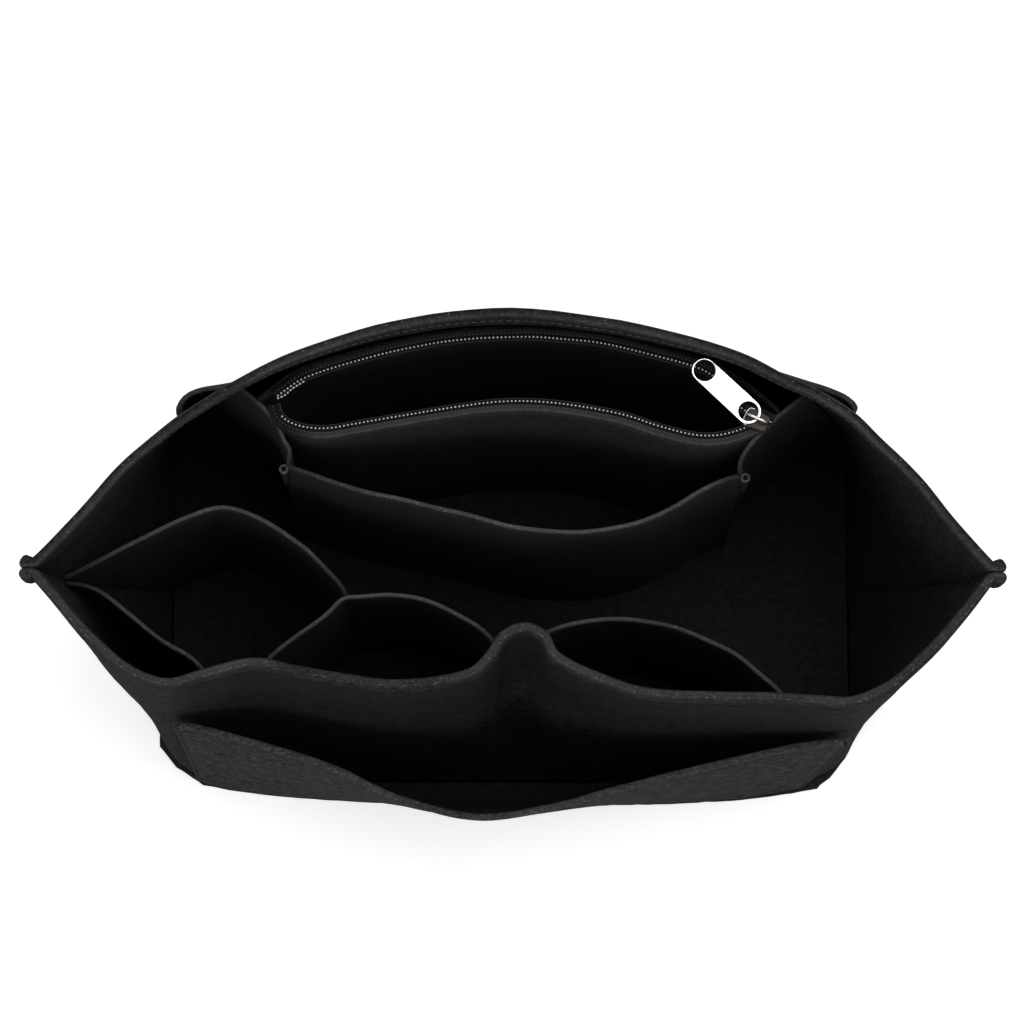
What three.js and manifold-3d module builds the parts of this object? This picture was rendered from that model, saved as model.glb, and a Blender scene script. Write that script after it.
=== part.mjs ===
// Felt purse organizer insert: an open-topped felt box with two outer pockets, a zip pocket and a
// gusseted slip pocket along its back wall, and a bottle holder and two small pockets along its front.
// Millimetres, +Z up, +X to the right, +Y to the back. It stands on its base panel, at z = 0.

import * as THREE from 'three';
import { mergeVertices } from 'three/addons/utils/BufferGeometryUtils.js';
import Module from 'manifold-3d';

const wasm = await Module();
wasm.setup();

// Overall size. y is measured from the line through the two side seams at the rim.
const HEIGHT = 160; // rim above the floor, at the middle
const TIP_DROP = 4; // how much lower the rim is at the side seams
const RIM_HALF_LENGTH = 171.5; // middle to side seam, at the rim
const RIM_BACK = 97.2; // back panel's inner face behind the seams, at the rim
const RIM_FRONT = 47.6; // front panel's inner face in front of the seams, at the rim's corners
const BASE_HALF_LENGTH = 138;
const BASE_BACK = 100;
const BASE_FRONT = 58;
const BASE_CORNER = 17; // the base's cut corners
const BASE_BOW = 6; // its front edge bows out at the middle
const SIDE_SEAM_BACK = 21; // the side seams' feet lie this far behind their tops
const LEFT_TIP_BACK = 1.7; // the side seams' tops lie at these y
const RIGHT_TIP_BACK = -0.4;

// Felt and seams
const FELT = 1.7;
const BASE_FELT = 2.5;
const POCKET_FELT = 1.6;
const LINING_FELT = 1.4;
const GAP = 0.3; // between sewn layers
const WALL_GAP = 0.6; // where a pocket's edge is sewn to a wall
const HEM_HEIGHT = 12; // the strip folded over inside the rim
const SEAM_ALLOWANCE = 7; // side seam, outside the stitches
const BASE_LEDGE = 3; // the base's edge stands out past the walls
const FRONT_LEAN = 1.7; // how early the front wall takes its rim's shape on the way up; 1 is evenly
const BACK_LEAN = 1;
const SEAM_LEAN = 1.3; // and the two side seams, which both walls share
const HEM_EASE_SHARE = 0.04; // stretch of wall height in which the flanges part for the hems

// Outer pockets
const OUTER_POCKET_HEIGHT = 105;
const OUTER_POCKET_HALF_WIDTH = 126;
const FRONT_POCKET_REACH = 83; // how far the pocket's lip flops out from the seams' line
const BACK_POCKET_REACH = 106;

// Zip pocket and the slip pocket in front of it
const ZIP_BELOW_RIM = 18; // centre of the zip's teeth
const ZIP_CENTRE = 1;
const ZIP_END_SHARE = 0.513; // how far along the rim the zip's ends lie
const ZIP_RISE = 27; // of its back half, from the ends to the middle
const LENS_SAG = 11.5; // how far the open front half of the zip hangs forward of the zip's ends
const ZIP_OVERRUN = 9; // cloth past the zip's ends, trimmed at the gussets
const GUSSET_DEPTH = 28;
const SLIP_SAG = 24;
const SLIP_FRONT = 42.5; // y of the slip pocket's corners
const LIP_BELOW_ZIP = 3.5; // the slip pocket's and the gussets' upper edges
const GUSSET_OVERRUN = 70; // behind the back wall, trimmed there

// Zip
const CHAIN_HALF_WIDTH = 0.9;
const CHAIN_HALF_HEIGHT = 1.2;
const TAPE = 0.6;
const TAPE_DROP = 12;
const TAPE_TAIL = 1; // past the slider at the open end
const SLIDER_LENGTH = 9.5;
const SLIDER_PLATE = 1;
const SLIDER_FLANGE = 0.6;
const SLIDER_AXIS = 2; // from the back chain's centre line to the slider's own
const SLIDER_CLEARANCE = 0.4;
const SLIDER_CORNER = 1.6;
const SLIDER_POST_LENGTH = 2.6;
const SLIDER_OUT = 1.4; // its middle, to the right of the zip's open end
const SLIDER_FORWARD = 5; // and in front of it
const SLIDER_YAW = 25; // degrees that its mouth end points back from straight left
const ZIP_LEAVES_ARC = 11; // degrees of arc before the open end where the back half turns to the slider
const BAIL_ROD = 1.3;
const BAIL_HALF_LENGTH = 3.2;
const BAIL_INSIDE = 2.7; // height of the bail's window
const PULL_SKEW = 19; // degrees that the tab's direction differs from the slider's
const PULL_HALF_WIDTH = 4.75;
const PULL_LENGTH = 22.3; // between its holes' centres
const PULL_THICKNESS = 1.2;
const PULL_HOLE = 3.7; // radius at the slider
const PULL_END_HOLE = 4;

// Pockets along the front wall
const FRONT_POCKET_DROP = 38; // their upper edges below the rim

// Fineness of the curves
const STEPS_PER_SPAN = 2;
const ARC_STEPS = 24;
const POCKET_STEPS_PER_SPAN = 2;
const ROUND_STEPS = 8;

// Walls from the left seam to the right: [rim x, rim y, foot x, foot y], as shares of the half lengths
// and of RIM_FRONT or RIM_BACK and the base's front or back.
const FRONT_WALL_SHARES = [
  [-0.885, -0.554, -1, -0.15],
  [-0.814, -0.751, -1, -0.49],
  [-0.729, -0.864, -0.965, -0.85],
  [-0.657, -0.803, -0.85, -1],
  [-0.545, -0.714, -0.7, -1],
  [-0.462, -0.767, -0.59, -1],
  [-0.359, -0.834, -0.46, -1],
  [-0.254, -0.88, -0.33, -1],
  [-0.153, -0.85, -0.2, -1],
  [-0.08, -0.77, -0.1, -1],
  [-0.043, -0.63, -0.05, -1],
  [-0.018, -0.495, -0.02, -1],
  [0.027, -0.43, 0.035, -1],
  [0.066, -0.495, 0.08, -1],
  [0.086, -0.63, 0.11, -1],
  [0.131, -0.74, 0.17, -1],
  [0.208, -0.856, 0.27, -1],
  [0.278, -0.933, 0.36, -1],
  [0.43, -0.97, 0.55, -1],
  [0.554, -0.97, 0.71, -1],
  [0.657, -0.992, 0.84, -1],
  [0.719, -1, 0.955, -0.87],
  [0.801, -0.876, 1, -0.53],
  [0.872, -0.655, 1, -0.19],
  [0.943, -0.379, 1, 0.11],
];
const BACK_WALL_SHARES = [
  [-0.904, 0.245, -1, 0.47],
  [-0.836, 0.386, -1, 0.68],
  [-0.767, 0.502, -1, 0.84],
  [-0.691, 0.601, -0.96, 0.955],
  [-0.603, 0.701, -0.85, 1],
  [-0.458, 0.832, -0.64, 1],
  [-0.252, 0.95, -0.33, 1],
  [0, 1, 0, 1],
  [0.275, 0.938, 0.36, 1],
  [0.481, 0.832, 0.64, 1],
  [0.584, 0.737, 0.78, 1],
  [0.651, 0.683, 0.88, 0.99],
  [0.727, 0.597, 0.97, 0.93],
  [0.788, 0.492, 1, 0.78],
  [0.857, 0.356, 1, 0.61],
  [0.927, 0.199, 1, 0.4],
];

// Lips of the outer pockets: [x, y] as shares of OUTER_POCKET_HALF_WIDTH and of the pocket's reach
const FRONT_LIP_SHARES = [
  [-1, -0.575],
  [-0.84, -0.63],
  [-0.55, -0.765],
  [-0.355, -0.9],
  [-0.16, -0.99],
  [0, -0.99],
  [0.29, -0.885],
  [0.585, -0.77],
  [0.8, -0.695],
  [1, -0.65],
];
const BACK_LIP_SHARES = [
  [-1, 0.695],
  [-0.86, 0.775],
  [-0.74, 0.84],
  [-0.45, 0.945],
  [0, 1],
  [0.45, 0.965],
  [0.7, 0.885],
  [0.86, 0.82],
  [1.03, 0.71],
];

// Where the base's front edge has its corners, as shares of its straight length
const BOW_SHARES = [-0.85, -0.65, -0.4, -0.15, 0.15, 0.4, 0.65, 0.85];

// Open front half of the zip: [x, y] as shares of ZIP_HALF_SPAN and LENS_SAG, from the zip's ends
const LENS_SHARES = [
  [-0.985, -0.17],
  [-0.972, -0.33],
  [-0.935, -0.55],
  [-0.87, -0.71],
  [-0.77, -0.73],
  [-0.63, -0.64],
  [-0.37, -0.2],
  [-0.1, 0.14],
  [0.13, 0.17],
  [0.4, -0.17],
  [0.54, -0.57],
  [0.67, -0.9],
  [0.76, -1],
  [0.85, -0.96],
  [0.95, -0.72],
];
// Gussets from the pocket's corner back to the wall: offsets from the zip's end, outwards and back,
// as shares of GUSSET_DEPTH
const LEFT_GUSSET_SHARES = [
  [-0.22, -0.785],
  [-0.235, -0.62],
  [-0.19, -0.45],
  [-0.075, -0.2],
  [0.15, 0.03],
  [0.36, 0.22],
];
const RIGHT_GUSSET_SHARES = [
  [-0.11, -0.86],
  [-0.115, -0.7],
  [0, -0.475],
  [0.165, -0.26],
  [0.335, -0.09],
  [0.56, 0.09],
];
// Slip pocket's lip: [x, y] as shares of ZIP_HALF_SPAN and SLIP_SAG, from its corners
const SLIP_SHARES = [
  [-0.975, 0.03],
  [-0.93, 0.05],
  [-0.79, -0.08],
  [-0.65, -0.29],
  [-0.44, -0.52],
  [-0.24, -0.68],
  [0, -0.91],
  [0.13, -0.98],
  [0.26, -1],
  [0.4, -0.95],
  [0.54, -0.81],
  [0.67, -0.59],
  [0.81, -0.28],
  [0.935, -0.11],
  [0.98, -0.11],
];

// Pockets along the front wall: [x, y] as shares of RIM_HALF_LENGTH and RIM_FRONT. They run on past
// the walls that they are sewn to, and are trimmed there.
const BOTTLE_BACK_SHARES = [
  [-1.02, 0.031],
  [-0.945, 0.135],
  [-0.824, 0.342],
  [-0.711, 0.568],
  [-0.627, 0.663],
  [-0.542, 0.568],
  [-0.45, 0.342],
  [-0.402, 0.174],
  [-0.365, 0.021],
  [-0.358, -0.041],
];
const BOTTLE_FRONT_SHARES = [
  [-1.02, 0.062],
  [-0.94, 0.052],
  [-0.896, 0],
  [-0.824, -0.192],
  [-0.755, -0.399],
  [-0.69, -0.539],
  [-0.657, -0.684],
  [-0.65, -0.85],
  [-0.65, -1.25],
];
const MIDDLE_SHARES = [
  [-0.56, -1.25],
  [-0.56, -0.85],
  [-0.545, -0.642],
  [-0.52, -0.518],
  [-0.471, -0.374],
  [-0.402, -0.192],
  [-0.361, -0.062],
  [-0.331, -0.052],
  [-0.259, -0.031],
  [-0.19, -0.071],
  [-0.118, -0.192],
  [-0.062, -0.319],
  [-0.032, -0.456],
  [-0.025, -0.8],
  [-0.025, -1.25],
];
const VIAL_SHARES = [
  [0.05, -1.25],
  [0.05, -0.8],
  [0.053, -0.476],
  [0.068, -0.362],
  [0.107, -0.296],
  [0.191, -0.239],
  [0.248, -0.231],
  [0.304, -0.256],
  [0.36, -0.304],
  [0.475, -0.478],
  [0.532, -0.647],
  [0.583, -0.813],
  [0.66, -1.25],
];

// Derived sizes and places
const ZIP_HEIGHT = HEIGHT - ZIP_BELOW_RIM;
const ZIP_HALF_SPAN = RIM_HALF_LENGTH * ZIP_END_SHARE;
const BACK_POCKET_TOP = ZIP_HEIGHT - LIP_BELOW_ZIP;
const FRONT_POCKET_TOP = HEIGHT - FRONT_POCKET_DROP;
const FOOT = BASE_FELT + GAP; // where everything that stands on the base begins
const HEM_SHARE = 1 - HEM_HEIGHT / HEIGHT;
const WALL_INSET = BASE_LEDGE + FELT; // from the base's edge to a wall's inner face
const RIM_HEM = GAP + FELT; // the hem's inner face, from the wall's
const SLIDER_REACH = CHAIN_HALF_WIDTH + SLIDER_CLEARANCE + SLIDER_FLANGE;
const TAPE_LEG = SLIDER_REACH + GAP; // the tape's standing leg, from the teeth
const PANEL_BEHIND = TAPE_LEG + TAPE + GAP; // the felt that the tape is sewn to
const RAISED_PULL = PULL_HALF_WIDTH - SLIDER_AXIS; // how far it reaches outside the teeth
const ZIP_APEX = RIM_BACK - RIM_HEM - WALL_GAP - RAISED_PULL; // a raised tab clears the hem
const ZIP_RADIUS = (ZIP_HALF_SPAN ** 2 + ZIP_RISE ** 2) / (2 * ZIP_RISE);
const ZIP_END_BACK = ZIP_APEX - ZIP_RISE; // y of the zip's two ends
const LINING_DRAW = RIM_BACK - BASE_BACK + WALL_INSET + GAP; // its foot is this much further forward

const SLIDER_PLATE_UNDER = CHAIN_HALF_HEIGHT + SLIDER_CLEARANCE;
const SLIDER_TOP = SLIDER_PLATE_UNDER + SLIDER_PLATE;

const lerp = (a, b, share) => a + (b - a) * share;

/** A smooth line through plan points, with a fixed count of steps between neighbours. */
function smooth(points, steps) {
  const curve = new THREE.CatmullRomCurve3(points.map(([x, y]) => new THREE.Vector3(x, y, 0)));
  return curve.getPoints((points.length - 1) * steps).map(({ x, y }) => [x, y]);
}

/** The line moved sideways: positive amounts go to the left of its direction. */
function offset(line, amount) {
  return line.map(([x, y], i) => {
    const before = line[Math.max(i - 1, 0)];
    const after = line[Math.min(i + 1, line.length - 1)];
    const inward = new THREE.Vector2(x - before[0], y - before[1]);
    const outward = new THREE.Vector2(after[0] - x, after[1] - y);
    if (i === 0) inward.copy(outward);
    if (i === line.length - 1) outward.copy(inward);
    const along = inward.normalize().add(outward.normalize()).normalize();
    const stretch = 1 / Math.max(along.dot(outward), 0.5);
    return [x - along.y * amount * stretch, y + along.x * amount * stretch];
  });
}

/**
 * A closed body from rings of points, one above the other. Past the turn, a ring comes back, and its
 * faces are split the other way, so that two sheets with one middle line have their folds alike.
 */
function loft(rings, turn = rings[0].length / 2) {
  const count = rings[0].length;
  const positions = rings.flat(2);
  const index = [];
  for (let r = 0; r + 1 < rings.length; r++) {
    for (let i = 0; i < count; i++) {
      const j = (i + 1) % count;
      const [a, b] = [r * count + i, r * count + j];
      if (i < turn) index.push(a, b, b + count, a, b + count, a + count);
      else index.push(a, b, a + count, b, b + count, a + count);
    }
  }
  const cap = (ring) =>
    THREE.ShapeUtils.triangulateShape(ring.map(([x, y]) => new THREE.Vector2(x, y)), []);
  for (const [a, b, c] of cap(rings[0])) index.push(a, c, b);
  const top = (rings.length - 1) * count;
  for (const [a, b, c] of cap(rings.at(-1))) index.push(top + a, top + b, top + c);
  const geometry = new THREE.BufferGeometry();
  geometry.setAttribute('position', new THREE.Float32BufferAttribute(positions, 3));
  geometry.setIndex(index);
  return geometry;
}

/** A standing sheet of cloth. Each row is [line, heights]; it fills the space between two offsets. */
function sheet(rows, low, high) {
  return loft(
    rows.map(([line, heights]) => {
      const near = offset(line, low).map(([x, y], i) => [x, y, heights[i]]);
      const far = offset(line, high).map(([x, y], i) => [x, y, heights[i]]);
      return [...near, ...far.reverse()];
    }),
  );
}

/** A sheet of even height along a plan line. */
function curtain(line, low, high, bottom, top) {
  return sheet([bottom, top].map((z) => [line, line.map(() => z)]), low, high);
}

function toSolid(geometry) {
  const bare = geometry.clone();
  bare.deleteAttribute('normal');
  bare.deleteAttribute('uv');
  const merged = mergeVertices(bare, GAP / 1000);
  const triVerts = Uint32Array.from(merged.index.array);
  const vertProperties = Float32Array.from(merged.attributes.position.array);
  return new wasm.Manifold(new wasm.Mesh({ numProp: 3, vertProperties, triVerts }));
}

function toGeometry(solid) {
  const mesh = solid.getMesh();
  const geometry = new THREE.BufferGeometry();
  geometry.setAttribute('position', new THREE.Float32BufferAttribute(mesh.vertProperties, 3));
  geometry.setIndex(Array.from(mesh.triVerts));
  return geometry;
}

const joined = (...geometries) =>
  toGeometry(geometries.map(toSolid).reduce((all, one) => all.add(one)));
const largest = (solid) => solid.decompose().sort((a, b) => b.volume() - a.volume())[0];
const trimmed = (geometry, ...limits) =>
  toGeometry(largest(limits.reduce((left, limit) => left.intersect(limit), toSolid(geometry))));
const without = (geometry, cutter) =>
  toGeometry(largest(toSolid(geometry).subtract(toSolid(cutter))));

// Walls

const FRONT_WALL = {
  shares: FRONT_WALL_SHARES,
  reach: RIM_FRONT,
  foot: BASE_FRONT - WALL_INSET,
  lean: FRONT_LEAN,
  side: -1,
};
const BACK_WALL = {
  shares: BACK_WALL_SHARES,
  reach: RIM_BACK,
  foot: BASE_BACK - WALL_INSET,
  lean: BACK_LEAN,
  side: 1,
};

/** The wall's inner face at a share of its height: [plan line, heights], flanges at both ends. */
function wallRow(wall, share) {
  const { shares, reach, foot, lean, side } = wall;
  const blend = 1 - (1 - share) ** lean;
  const halfFoot = BASE_HALF_LENGTH - WALL_INSET;
  const parting = THREE.MathUtils.clamp((share - HEM_SHARE) / HEM_EASE_SHARE + 1, 0, 1);
  const aside = side * (GAP / 2 + parting * RIM_HEM);
  const seamBlend = 1 - (1 - share) ** SEAM_LEAN;
  const end = (sign, tipBack) => {
    const x = sign * lerp(halfFoot, RIM_HALF_LENGTH, seamBlend);
    const y = lerp(SIDE_SEAM_BACK, tipBack, seamBlend) + aside;
    return [[x, y], [x + sign * SEAM_ALLOWANCE, y]];
  };
  const [leftSeam, leftEdge] = end(-1, LEFT_TIP_BACK);
  const [rightSeam, rightEdge] = end(1, RIGHT_TIP_BACK);
  const middle = shares.map(([rimX, rimY, footX, footY]) => [
    lerp(footX * halfFoot, rimX * RIM_HALF_LENGTH, blend),
    lerp(footY * foot, rimY * reach, blend),
  ]);
  const line = [leftEdge, ...smooth([leftSeam, ...middle, rightSeam], STEPS_PER_SPAN), rightEdge];
  const heights = line.map(([x]) => {
    const top = HEIGHT - TIP_DROP * Math.min(Math.abs(x / RIM_HALF_LENGTH), 1) ** 4;
    return lerp(FOOT, top, share);
  });
  return [line, heights];
}

const WALL_ROW_SHARES = [0, 0.25, 0.5, 0.75, HEM_SHARE - HEM_EASE_SHARE, HEM_SHARE, 1];

function wallPanel(wall) {
  const rows = WALL_ROW_SHARES.map((share) => wallRow(wall, share));
  return wall.side > 0 ? sheet(rows, 0, FELT) : sheet(rows, -FELT, 0);
}

function rimHem(wall) {
  const rows = [HEM_SHARE, 1].map((share) => wallRow(wall, share));
  return wall.side > 0 ? sheet(rows, -RIM_HEM, -GAP) : sheet(rows, GAP, RIM_HEM);
}

/** The room inside the walls, short of the side seams, which trims what is sewn to the walls. */
function room() {
  const skip = STEPS_PER_SPAN;
  let turn = 0;
  const rings = WALL_ROW_SHARES.filter((share) => share <= HEM_SHARE).map((share) => {
    const [front, back] = [FRONT_WALL, BACK_WALL].map((wall) => {
      const [line, heights] = wallRow(wall, share);
      const within = offset(line, -wall.side * WALL_GAP).map(([x, y], i) => [x, y, heights[i]]);
      return within.slice(skip, -skip);
    });
    turn = front.length;
    return [...front, ...back.reverse()];
  });
  return toSolid(loft(rings, turn));
}

/** How far the base's front edge stands out at x. */
const bow = (x) => BASE_BOW * (1 - (x / (BASE_HALF_LENGTH - BASE_CORNER)) ** 2);

function basePanel() {
  const corners = [
    [1, -1],
    [1, 1],
    [-1, 1],
    [-1, -1],
  ];
  const outline = corners.flatMap(([sx, sy]) => {
    const y = sy > 0 ? BASE_BACK : -BASE_FRONT;
    const cutX = [sx * (BASE_HALF_LENGTH - BASE_CORNER), y];
    const cutY = [sx * BASE_HALF_LENGTH, y - sy * BASE_CORNER];
    return sx * sy > 0 ? [cutY, cutX] : [cutX, cutY];
  });
  for (const share of BOW_SHARES) {
    const x = share * (BASE_HALF_LENGTH - BASE_CORNER);
    outline.push([x, -BASE_FRONT - bow(x)]);
  }
  const shape = new THREE.Shape(outline.map(([x, y]) => new THREE.Vector2(x, y)));
  return new THREE.ExtrudeGeometry(shape, { depth: BASE_FELT, bevelEnabled: false });
}

// Outer pockets

/** A pocket on the outside of a wall, flat at the base and flopping out at its lip. */
function outerPocket(lipShares, reach, baseEdge, side) {
  const lip = lipShares.map(([x, y]) => [x * OUTER_POCKET_HALF_WIDTH, y * reach]);
  const halfFoot = BASE_HALF_LENGTH - BASE_CORNER;
  const foot = lipShares.map(([x]) => {
    const out = side < 0 ? bow(Math.min(Math.abs(x), 1) * halfFoot) : 0;
    return [x * halfFoot, side * (baseEdge + out)];
  });
  const rows = [
    [smooth(foot, POCKET_STEPS_PER_SPAN), FOOT],
    [smooth(lip, POCKET_STEPS_PER_SPAN), OUTER_POCKET_HEIGHT],
  ].map(([line, z]) => [line, line.map(() => z)]);
  return side > 0 ? sheet(rows, -POCKET_FELT, 0) : sheet(rows, 0, POCKET_FELT);
}

/** The outer pocket less what would lie inside its wall. */
function pocketOnWall(pocket, wall) {
  const rows = WALL_ROW_SHARES.map((share) => wallRow(wall, share));
  const inside = FELT + RIM_HEM + GAP;
  const cutter = wall.side > 0 ? sheet(rows, -inside, FELT + GAP) : sheet(rows, -FELT - GAP, inside);
  return without(pocket, cutter);
}

// Zip and slip pockets

/** A plan point on the zip's arc: degrees clockwise from its middle, and how far outside the teeth. */
function onZipArc(degrees, outside) {
  const turn = THREE.MathUtils.degToRad(degrees);
  const radius = ZIP_RADIUS + outside;
  return [ZIP_CENTRE + radius * Math.sin(turn), ZIP_APEX - ZIP_RADIUS + radius * Math.cos(turn)];
}

const ZIP_END_ANGLE = THREE.MathUtils.radToDeg(Math.asin(ZIP_HALF_SPAN / ZIP_RADIUS));

/** A line along the zip's arc between two angles. */
function arcLine(from, to) {
  return Array.from({ length: ARC_STEPS + 1 }, (_, i) => onZipArc(lerp(from, to, i / ARC_STEPS), 0));
}

const openEnd = onZipArc(ZIP_END_ANGLE, 0);
const sliderSeat = [openEnd[0] + SLIDER_OUT, openEnd[1] - SLIDER_FORWARD];

/** A plan point beside the slider: how far towards its mouth, and how far to the back of its axis. */
function bySlider(ahead, back) {
  const turn = THREE.MathUtils.degToRad(SLIDER_YAW);
  const [x, y] = sliderSeat;
  return [
    x - ahead * Math.cos(turn) + back * Math.sin(turn),
    y + ahead * Math.sin(turn) + back * Math.cos(turn),
  ];
}

/** The zip's back half: along the arc, then straight through the slider and on past it. */
function backZipLine(from, past) {
  const half = SLIDER_LENGTH / 2;
  const through = [half + SLIDER_CORNER, half / 2, -half / 2, -half - past];
  const ends = through.map((ahead) => bySlider(ahead, SLIDER_AXIS));
  return [...arcLine(from, ZIP_END_ANGLE - ZIP_LEAVES_ARC), ...smooth(ends, POCKET_STEPS_PER_SPAN)];
}

const lensLine = smooth(
  LENS_SHARES.map(([x, y]) => [ZIP_CENTRE + x * ZIP_HALF_SPAN, ZIP_END_BACK + y * LENS_SAG]),
  POCKET_STEPS_PER_SPAN,
);

/** The tape's cross-section is an L: a flat leg beside the teeth and a leg down the felt. */
function tape(line, side) {
  const between = (a, b) => [Math.min(side * a, side * b), Math.max(side * a, side * b)];
  const flat = between(CHAIN_HALF_WIDTH + GAP, TAPE_LEG + TAPE);
  const leg = between(TAPE_LEG, TAPE_LEG + TAPE);
  const top = ZIP_HEIGHT + TAPE / 2;
  return joined(
    curtain(line, ...flat, ZIP_HEIGHT - TAPE / 2, top),
    curtain(line, ...leg, ZIP_HEIGHT - TAPE_DROP, top),
  );
}

function chain(line) {
  const [bottom, top] = [ZIP_HEIGHT - CHAIN_HALF_HEIGHT, ZIP_HEIGHT + CHAIN_HALF_HEIGHT];
  return curtain(line, -CHAIN_HALF_WIDTH, CHAIN_HALF_WIDTH, bottom, top);
}

/** A gusset's plan line, from the pocket's front corner to well behind the back wall. */
function gussetLine(shares, side) {
  const points = shares.map(([out, back]) => [
    ZIP_CENTRE + side * (ZIP_HALF_SPAN + out * GUSSET_DEPTH),
    ZIP_END_BACK + back * GUSSET_DEPTH,
  ]);
  const [before, last] = points.slice(-2);
  const run = Math.hypot(last[0] - before[0], last[1] - before[1]);
  const past = last.map((value, i) => value + ((value - before[i]) / run) * GUSSET_OVERRUN);
  return [...smooth(points, POCKET_STEPS_PER_SPAN), past];
}

const leftGussetLine = gussetLine(LEFT_GUSSET_SHARES, -1);
const rightGussetLine = gussetLine(RIGHT_GUSSET_SHARES, 1);

/** The space between the two gussets, which trims the zip pocket's cloth. */
function betweenGussets() {
  const clear = POCKET_FELT / 2 + GAP;
  const ring = [...offset(rightGussetLine, clear), ...offset(leftGussetLine, -clear).reverse()];
  return toSolid(loft([0, HEIGHT].map((z) => ring.map(([x, y]) => [x, y, z]))));
}

const slipLine = smooth(
  SLIP_SHARES.map(([x, y]) => [ZIP_CENTRE + x * ZIP_HALF_SPAN, SLIP_FRONT + y * SLIP_SAG]),
  POCKET_STEPS_PER_SPAN,
);

function pocketCurtain(line, top, extra = 0) {
  const half = POCKET_FELT / 2 + extra;
  return curtain(line, -half, half, FOOT - extra, top + extra);
}

// Slider and pull tab, built lying along +X with the mouth at that end, then turned into place

/** A flat plate with a rounded rectangle outline. */
function plate(x0, x1, y0, y1, z0, z1, corner) {
  const shape = new THREE.Shape();
  shape.moveTo(x0 + corner, y0);
  shape.lineTo(x1 - corner, y0);
  shape.absarc(x1 - corner, y0 + corner, corner, -Math.PI / 2, 0);
  shape.lineTo(x1, y1 - corner);
  shape.absarc(x1 - corner, y1 - corner, corner, 0, Math.PI / 2);
  shape.lineTo(x0 + corner, y1);
  shape.absarc(x0 + corner, y1 - corner, corner, Math.PI / 2, Math.PI);
  shape.lineTo(x0, y0 + corner);
  shape.absarc(x0 + corner, y0 + corner, corner, Math.PI, Math.PI * 1.5);
  const options = { depth: z1 - z0, bevelEnabled: false, curveSegments: ROUND_STEPS / 2 };
  return new THREE.ExtrudeGeometry(shape, options).translate(0, 0, z0);
}

function block(x0, x1, y0, y1, z0, z1) {
  const box = new THREE.BoxGeometry(x1 - x0, y1 - y0, z1 - z0);
  return box.translate((x0 + x1) / 2, (y0 + y1) / 2, (z0 + z1) / 2);
}

/** Two plates, the post between them at the mouth, and the edges that hold the teeth in. */
function sliderBody() {
  const [tail, mouth] = [-SLIDER_LENGTH / 2, SLIDER_LENGTH / 2];
  const half = SLIDER_AXIS + SLIDER_REACH;
  const slot = TAPE / 2 + SLIDER_CLEARANCE;
  const bite = SLIDER_PLATE / 2;
  const postHalf = SLIDER_AXIS - CHAIN_HALF_WIDTH - SLIDER_CLEARANCE;
  const pieces = [
    block(mouth - SLIDER_POST_LENGTH, mouth - GAP, -postHalf, postHalf, -SLIDER_TOP + bite, SLIDER_TOP - bite),
  ];
  for (const up of [-1, 1]) {
    const heights = [up * SLIDER_PLATE_UNDER, up * SLIDER_TOP].sort((a, b) => a - b);
    pieces.push(plate(tail, mouth, -half, half, ...heights, SLIDER_CORNER));
    for (const out of [-1, 1]) {
      const across = [out * half, out * (half - SLIDER_FLANGE)].sort((a, b) => a - b);
      const edge = [up * slot, up * (SLIDER_PLATE_UNDER + bite)].sort((a, b) => a - b);
      pieces.push(block(tail + SLIDER_CORNER, mouth - SLIDER_CORNER, ...across, ...edge));
    }
  }
  return joined(...pieces);
}

/** An arch standing along the slider, over the window that the pull tab's end lies in. */
function sliderBail() {
  const outer = new THREE.Shape();
  const inside = BAIL_INSIDE - GAP;
  outer.moveTo(-BAIL_HALF_LENGTH - BAIL_ROD, 0);
  outer.lineTo(-BAIL_HALF_LENGTH, 0);
  outer.lineTo(-BAIL_HALF_LENGTH, inside);
  outer.lineTo(BAIL_HALF_LENGTH, inside);
  outer.lineTo(BAIL_HALF_LENGTH, 0);
  outer.lineTo(BAIL_HALF_LENGTH + BAIL_ROD, 0);
  outer.lineTo(BAIL_HALF_LENGTH + BAIL_ROD, inside);
  outer.lineTo(BAIL_HALF_LENGTH, inside + BAIL_ROD);
  outer.lineTo(-BAIL_HALF_LENGTH, inside + BAIL_ROD);
  outer.lineTo(-BAIL_HALF_LENGTH - BAIL_ROD, inside);
  const arch = new THREE.ExtrudeGeometry(outer, { depth: BAIL_ROD, bevelEnabled: false });
  return arch.rotateX(Math.PI / 2).translate(0, BAIL_ROD / 2, SLIDER_TOP + GAP);
}

const PULL_RIM = PULL_HALF_WIDTH - PULL_HOLE;
const PULL_HEIGHT = SLIDER_TOP + GAP + PULL_THICKNESS / 2; // centre, above the teeth

/** A flat tab with round ends and a hole in each; its origin is in the rim that the bail holds. */
function pullTab() {
  const near = PULL_HOLE + PULL_RIM / 2;
  const far = near + PULL_LENGTH;
  const shape = new THREE.Shape();
  shape.absarc(near, 0, PULL_HALF_WIDTH, Math.PI / 2, Math.PI * 1.5);
  shape.absarc(far, 0, PULL_HALF_WIDTH, -Math.PI / 2, Math.PI / 2);
  for (const [x, radius] of [[near, PULL_HOLE], [far, PULL_END_HOLE]]) {
    shape.holes.push(new THREE.Path().absarc(x, 0, radius, 0, Math.PI * 2, true));
  }
  const options = { depth: PULL_THICKNESS, bevelEnabled: false, curveSegments: ROUND_STEPS * 2 };
  return new THREE.ExtrudeGeometry(shape, options).translate(0, 0, -PULL_THICKNESS / 2);
}

// The assembly

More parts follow.
